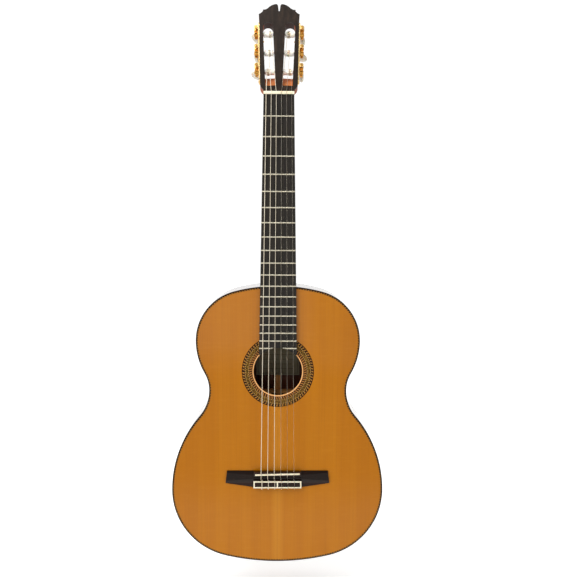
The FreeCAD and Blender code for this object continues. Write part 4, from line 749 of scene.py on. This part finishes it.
def sweep_edge(bm, profile, closed=True):
    """A profile of (inset, depth) points carried round the soundbox's edge, both halves.

    The layers along and across hold how far round the edge and along the profile each point is.
    """
    along = bm.verts.layers.float.new("along")
    across = bm.verts.layers.float.new("across")
    points = [bm.verts.new((0, depth, BODY_TOP - inset)) for inset, depth in profile]
    run = 0.0
    for before, point in zip([points[0]] + points, points):
        run += (point.co - before.co).length
        point[across] = run
    pairs = list(zip(points, points[1:]))
    if closed and len(points) > 2:
        pairs.append((points[-1], points[0]))
    ring = points + [bm.edges.new(pair) for pair in pairs]
    travelled = 0.0
    for centre, angle, steps, length in edge_turns():
        for _ in range(steps):
            spun = bmesh.ops.spin(bm, geom=ring, cent=centre, axis=Y_AXIS, dvec=(0, 0, 0),
                                  angle=angle / steps, steps=1, use_merge=False)
            ring = spun["geom_last"]
            travelled += length / steps
            for item in ring:
                if isinstance(item, bmesh.types.BMVert):
                    item[along] = travelled
    everything = bm.verts[:] + bm.edges[:] + bm.faces[:]
    bmesh.ops.mirror(bm, geom=everything, axis="X", merge_dist=1e-5)
    return along, across


def lay_uv(bm, along, across):
    uv = bm.loops.layers.uv.new("UVMap")
    for face in bm.faces:
        for corner in face.loops:
            corner[uv].uv = (corner.vert[along], corner.vert[across])


def back_depth(x, z, depth=0.0):
    """How far back the arched back's face is at a point, less depth."""
    reach = (BACK_RADIUS - depth) ** 2 - x ** 2 - (z - BACK_CENTRE.z) ** 2
    return BACK_CENTRE.y + math.sqrt(reach)


# ---------------------------------------------------------------- soundbox pieces

# A binding's section as (inset, depth from its face), with its outer corner rounded over.
BINDING_SECTION = [(EDGE, BINDING), (EDGE, 0.0), (0.0012, 0.0), (0.0007, 0.00012), (0.00028, 0.0004),
                   (0.00006, 0.0008), (0.0, 0.0013), (0.0, BINDING)]
BEYOND_BACK = 0.2               # a depth past every point of the back


def top_binding():
    """The edge binding round the top."""
    bm = bmesh.new()
    along, across = sweep_edge(bm, BINDING_SECTION)
    lay_uv(bm, along, across)
    finished("edge_binding_top", bm, "rosewood_binding", "top_binding")


def top_purfling():
    """The rope line let in beside the binding."""
    bm = bmesh.new()
    inner = EDGE + PURFLING
    profile = [(EDGE, 0.0), (inner, 0.0), (inner, PURFLING_DEPTH), (EDGE, PURFLING_DEPTH)]
    along, across = sweep_edge(bm, profile)
    lay_uv(bm, along, across)
    finished("rope_line_top", bm, "rope_purfling", "top_purfling")


def soundboard():
    """The flat top with its recess for the rosette and its hole."""
    bm = bmesh.new()
    inset = EDGE + PURFLING
    rim = [(inset, 0.0), (inset, PURFLING_DEPTH), (EDGE, PURFLING_DEPTH), (EDGE, TOP_THICK)]
    sweep_edge(bm, rim, False)
    lip = [(ROSETTE_OUTER, 0.0), (ROSETTE_OUTER, ROSETTE_DEPTH), (ROSETTE_INNER, ROSETTE_DEPTH),
           (ROSETTE_INNER, 0.0), (HOLE_RADIUS + 0.0005, 0.0), (HOLE_RADIUS + 0.00014, 0.00016),
           (HOLE_RADIUS, 0.0006), (HOLE_RADIUS, TOP_THICK)]
    turned(bm, lip)
    bmesh.ops.remove_doubles(bm, verts=bm.verts[:], dist=SAME_PLACE)
    for level in (0.0, TOP_THICK):
        rims = [edge for edge in bm.edges if edge.is_boundary
                and all(abs(vert.co.y - level) < SAME_PLACE for vert in edge.verts)]
        bmesh.ops.triangle_fill(bm, edges=rims, use_beauty=True)
    finished("spruce_board", bm, "spruce_top", "soundboard")


def turned(bm, profile, closed=False):
    """A profile of (radius, depth) points turned round the soundhole's axis."""
    points = [bm.verts.new((radius, depth, HOLE_Z)) for radius, depth in profile]
    edges = [bm.edges.new(pair) for pair in zip(points, points[1:])]
    if closed:
        edges.append(bm.edges.new((points[-1], points[0])))
    bmesh.ops.spin(bm, geom=points + edges, cent=(0, 0, HOLE_Z), axis=Y_AXIS, dvec=(0, 0, 0),
                   angle=2 * math.pi, steps=HOLE_STEPS, use_merge=True)


def rosette():
    """The inlaid ring, flush with the top."""
    bm = bmesh.new()
    ring = [(ROSETTE_OUTER, 0.0), (ROSETTE_OUTER, ROSETTE_DEPTH), (ROSETTE_INNER, ROSETTE_DEPTH),
            (ROSETTE_INNER, 0.0)]
    turned(bm, ring, True)
    finished("rosette_ring", bm, "rosette_inlay", "rosette")


def onto_back(bm, depths):
    """Move the points beyond the back onto its arch, each by its step's depth from the face."""
    for vert in bm.verts:
        step = round((vert.co.y - BEYOND_BACK) / MM)
        if step >= 0:
            vert.co.y = back_depth(vert.co.x, vert.co.z, depths[step])


def ribs():
    """The two bent sides, from under the top binding to the back binding."""
    bm = bmesh.new()
    sweep_edge(bm, [(0.0, BINDING), (0.0, BEYOND_BACK), (EDGE, BEYOND_BACK), (EDGE, BINDING)])
    onto_back(bm, [BINDING])
    for side, sense in (("bass", -1), ("treble", 1)):
        half = bm.copy()
        everything = half.verts[:] + half.edges[:] + half.faces[:]
        bmesh.ops.bisect_plane(half, geom=everything, plane_co=(0, 0, 0), plane_no=(sense, 0, 0),
                               clear_inner=True)
        bmesh.ops.holes_fill(half, edges=[edge for edge in half.edges if edge.is_boundary], sides=4)
        finished("rib_" + side, half, "rosewood_sides", "side_" + side)
    bm.free()


def back_binding():
    """The edge binding round the back: swept a millimetre a point, then moved onto the arch."""
    bm = bmesh.new()
    section = BINDING_SECTION[::-1]
    sweep_edge(bm, [(inset, BEYOND_BACK + step * MM) for step, (inset, _) in enumerate(section)])
    onto_back(bm, [depth_in for _, depth_in in section])
    finished("edge_binding_back", bm, "rosewood_binding", "back_binding")


dress_nodes()
top_binding()
top_purfling()
soundboard()
rosette()
ribs()
back_binding()


# ---------------------------------------------------------------- stage, light and camera

def pale_floor():
    """White and faintly glowing, with a painted shadow: a grey round patch in front that does not glow,
    which the lacquer reflects.
    """
    look = Look("pale_floor", {"Roughness": 0.7, "Emission Strength": 0.35, "Specular IOR Level": 0.1})
    patch_ahead, patch_inner, patch_outer = 1.35, 0.75, 1.0
    x, y, _ = look.split(look.place())
    ahead = look.math("ADD", y, patch_ahead)
    square = look.math("ADD", look.math("MULTIPLY", x, x), look.math("MULTIPLY", ahead, ahead))
    # Painted shadow: inside the round patch the floor is grey and without glow, and outside it the floor is
    # white and glowing.
    beyond_painted_shadow = look.between(look.math("SQRT", square), patch_inner, patch_outer)
    cloud = look.noise(look.place(), (2, 2, 2), 3.0)
    base = look.mix(look.between(cloud, 0.3, 0.7, 0.0, 0.25), tone(250, 250, 248), tone(244, 244, 242))
    look.colour(look.mix(beyond_painted_shadow, tone(200, 199, 197), base))
    look.links.new(look.mix(beyond_painted_shadow, (0, 0, 0, 1), (1, 1, 1, 1)), look.shader.inputs["Emission Color"])
    return look.material


def floor():
    radius, drop = 9.0, 0.06
    bm = bmesh.new()
    bmesh.ops.create_circle(bm, cap_ends=True, radius=radius, segments=96,
                            matrix=Matrix.Translation((0, 0, cad_box[0][2] - drop)))
    mesh = bpy.data.meshes.new("floor")
    bm.to_mesh(mesh)
    bm.free()
    mesh.materials.append(pale_floor())
    piece = bpy.data.objects.new("floor", mesh)
    bpy.context.collection.objects.link(piece)


# How bright the surroundings are towards each Y direction: from straight in front to behind.
SKY_STEPS = ((-0.97, 0.08), (-0.90, 0.36), (-0.6, 0.62), (0.0, 0.72), (0.25, 1.05))


def world():
    """White behind the guitar and darkest straight in front, so that the lacquer keeps its colour."""
    sky = bpy.data.worlds.new("studio")
    sky.use_nodes = True
    bpy.context.scene.world = sky
    nodes, links = sky.node_tree.nodes, sky.node_tree.links
    where = nodes.new("ShaderNodeTexCoord")
    parts = nodes.new("ShaderNodeSeparateXYZ")
    links.new(where.outputs["Generated"], parts.inputs[0])
    ramp = nodes.new("ShaderNodeMapRange")
    ramp.inputs["From Min"].default_value = -1.0
    links.new(parts.outputs[1], ramp.inputs["Value"])
    shades = nodes.new("ShaderNodeValToRGB")
    band = shades.color_ramp
    while len(band.elements) < len(SKY_STEPS):
        band.elements.new(1.0)
    for element, (direction, level) in zip(band.elements, SKY_STEPS):
        element.position = (direction + 1) / 2
        element.color = (level, level, level, 1)
    links.new(ramp.outputs[0], shades.inputs[0])
    links.new(shades.outputs[0], nodes["Background"].inputs["Color"])
    nodes["Background"].inputs["Strength"].default_value = 1.0


# Each light's name, place, aim, width, height and watts.
LIGHTS = (
    ("key", (-1.25, -1.45, 0.95), (0, 0, -0.4), 1.2, 1.2, 27),
    ("fill", (1.7, -1.5, 0.3), (0, 0, -0.5), 1.4, 1.4, 4),
    ("sheen", (-0.4, -1.7, -0.42), (-0.05, 0, -0.40), 1.1, 0.6, 1.8),
    ("overhead", (-0.3, -0.55, 1.3), (0, 0, 0.05), 0.6, 0.6, 9),
)


def area_light(name, place, aim, width, height, power):
    data = bpy.data.lights.new(name, "AREA")
    data.shape = "RECTANGLE"
    data.size = width
    data.size_y = height
    data.energy = power
    lamp = bpy.data.objects.new(name, data)
    lamp.location = place
    lamp.rotation_euler = (Vector(aim) - Vector(place)).to_track_quat("-Z", "Y").to_euler()
    bpy.context.collection.objects.link(lamp)


SENSOR_WIDTH = 36               # the camera's own millimetres
LENS = 44.984
CAMERA_PLACE = (0.0005, -1.2443, -0.2333)
YAW = math.radians(0.80)
PITCH = math.radians(4.41)
ROLL = math.radians(0.28)


def camera():
    """In front, a little above the middle, looking slightly down."""
    data = bpy.data.cameras.new("camera")
    data.sensor_width = SENSOR_WIDTH
    data.lens = LENS
    data.clip_start = 0.01
    data.clip_end = 50
    level = math.cos(PITCH)
    ahead = Vector((math.sin(YAW) * level, math.cos(YAW) * level, -math.sin(PITCH)))
    right = Vector((math.cos(YAW), -math.sin(YAW), 0))
    up = right.cross(ahead)
    rolled_right = right * math.cos(ROLL) + up * math.sin(ROLL)
    rolled_up = up * math.cos(ROLL) - right * math.sin(ROLL)
    turn = Matrix((rolled_right, rolled_up, -ahead)).transposed().to_4x4()
    eye = bpy.data.objects.new("camera", data)
    eye.matrix_world = Matrix.Translation(CAMERA_PLACE) @ turn
    bpy.context.collection.objects.link(eye)
    bpy.context.scene.camera = eye


floor()
world()
for light in LIGHTS:
    area_light(*light)
camera()
bpy.context.scene.view_settings.view_transform = "Standard"
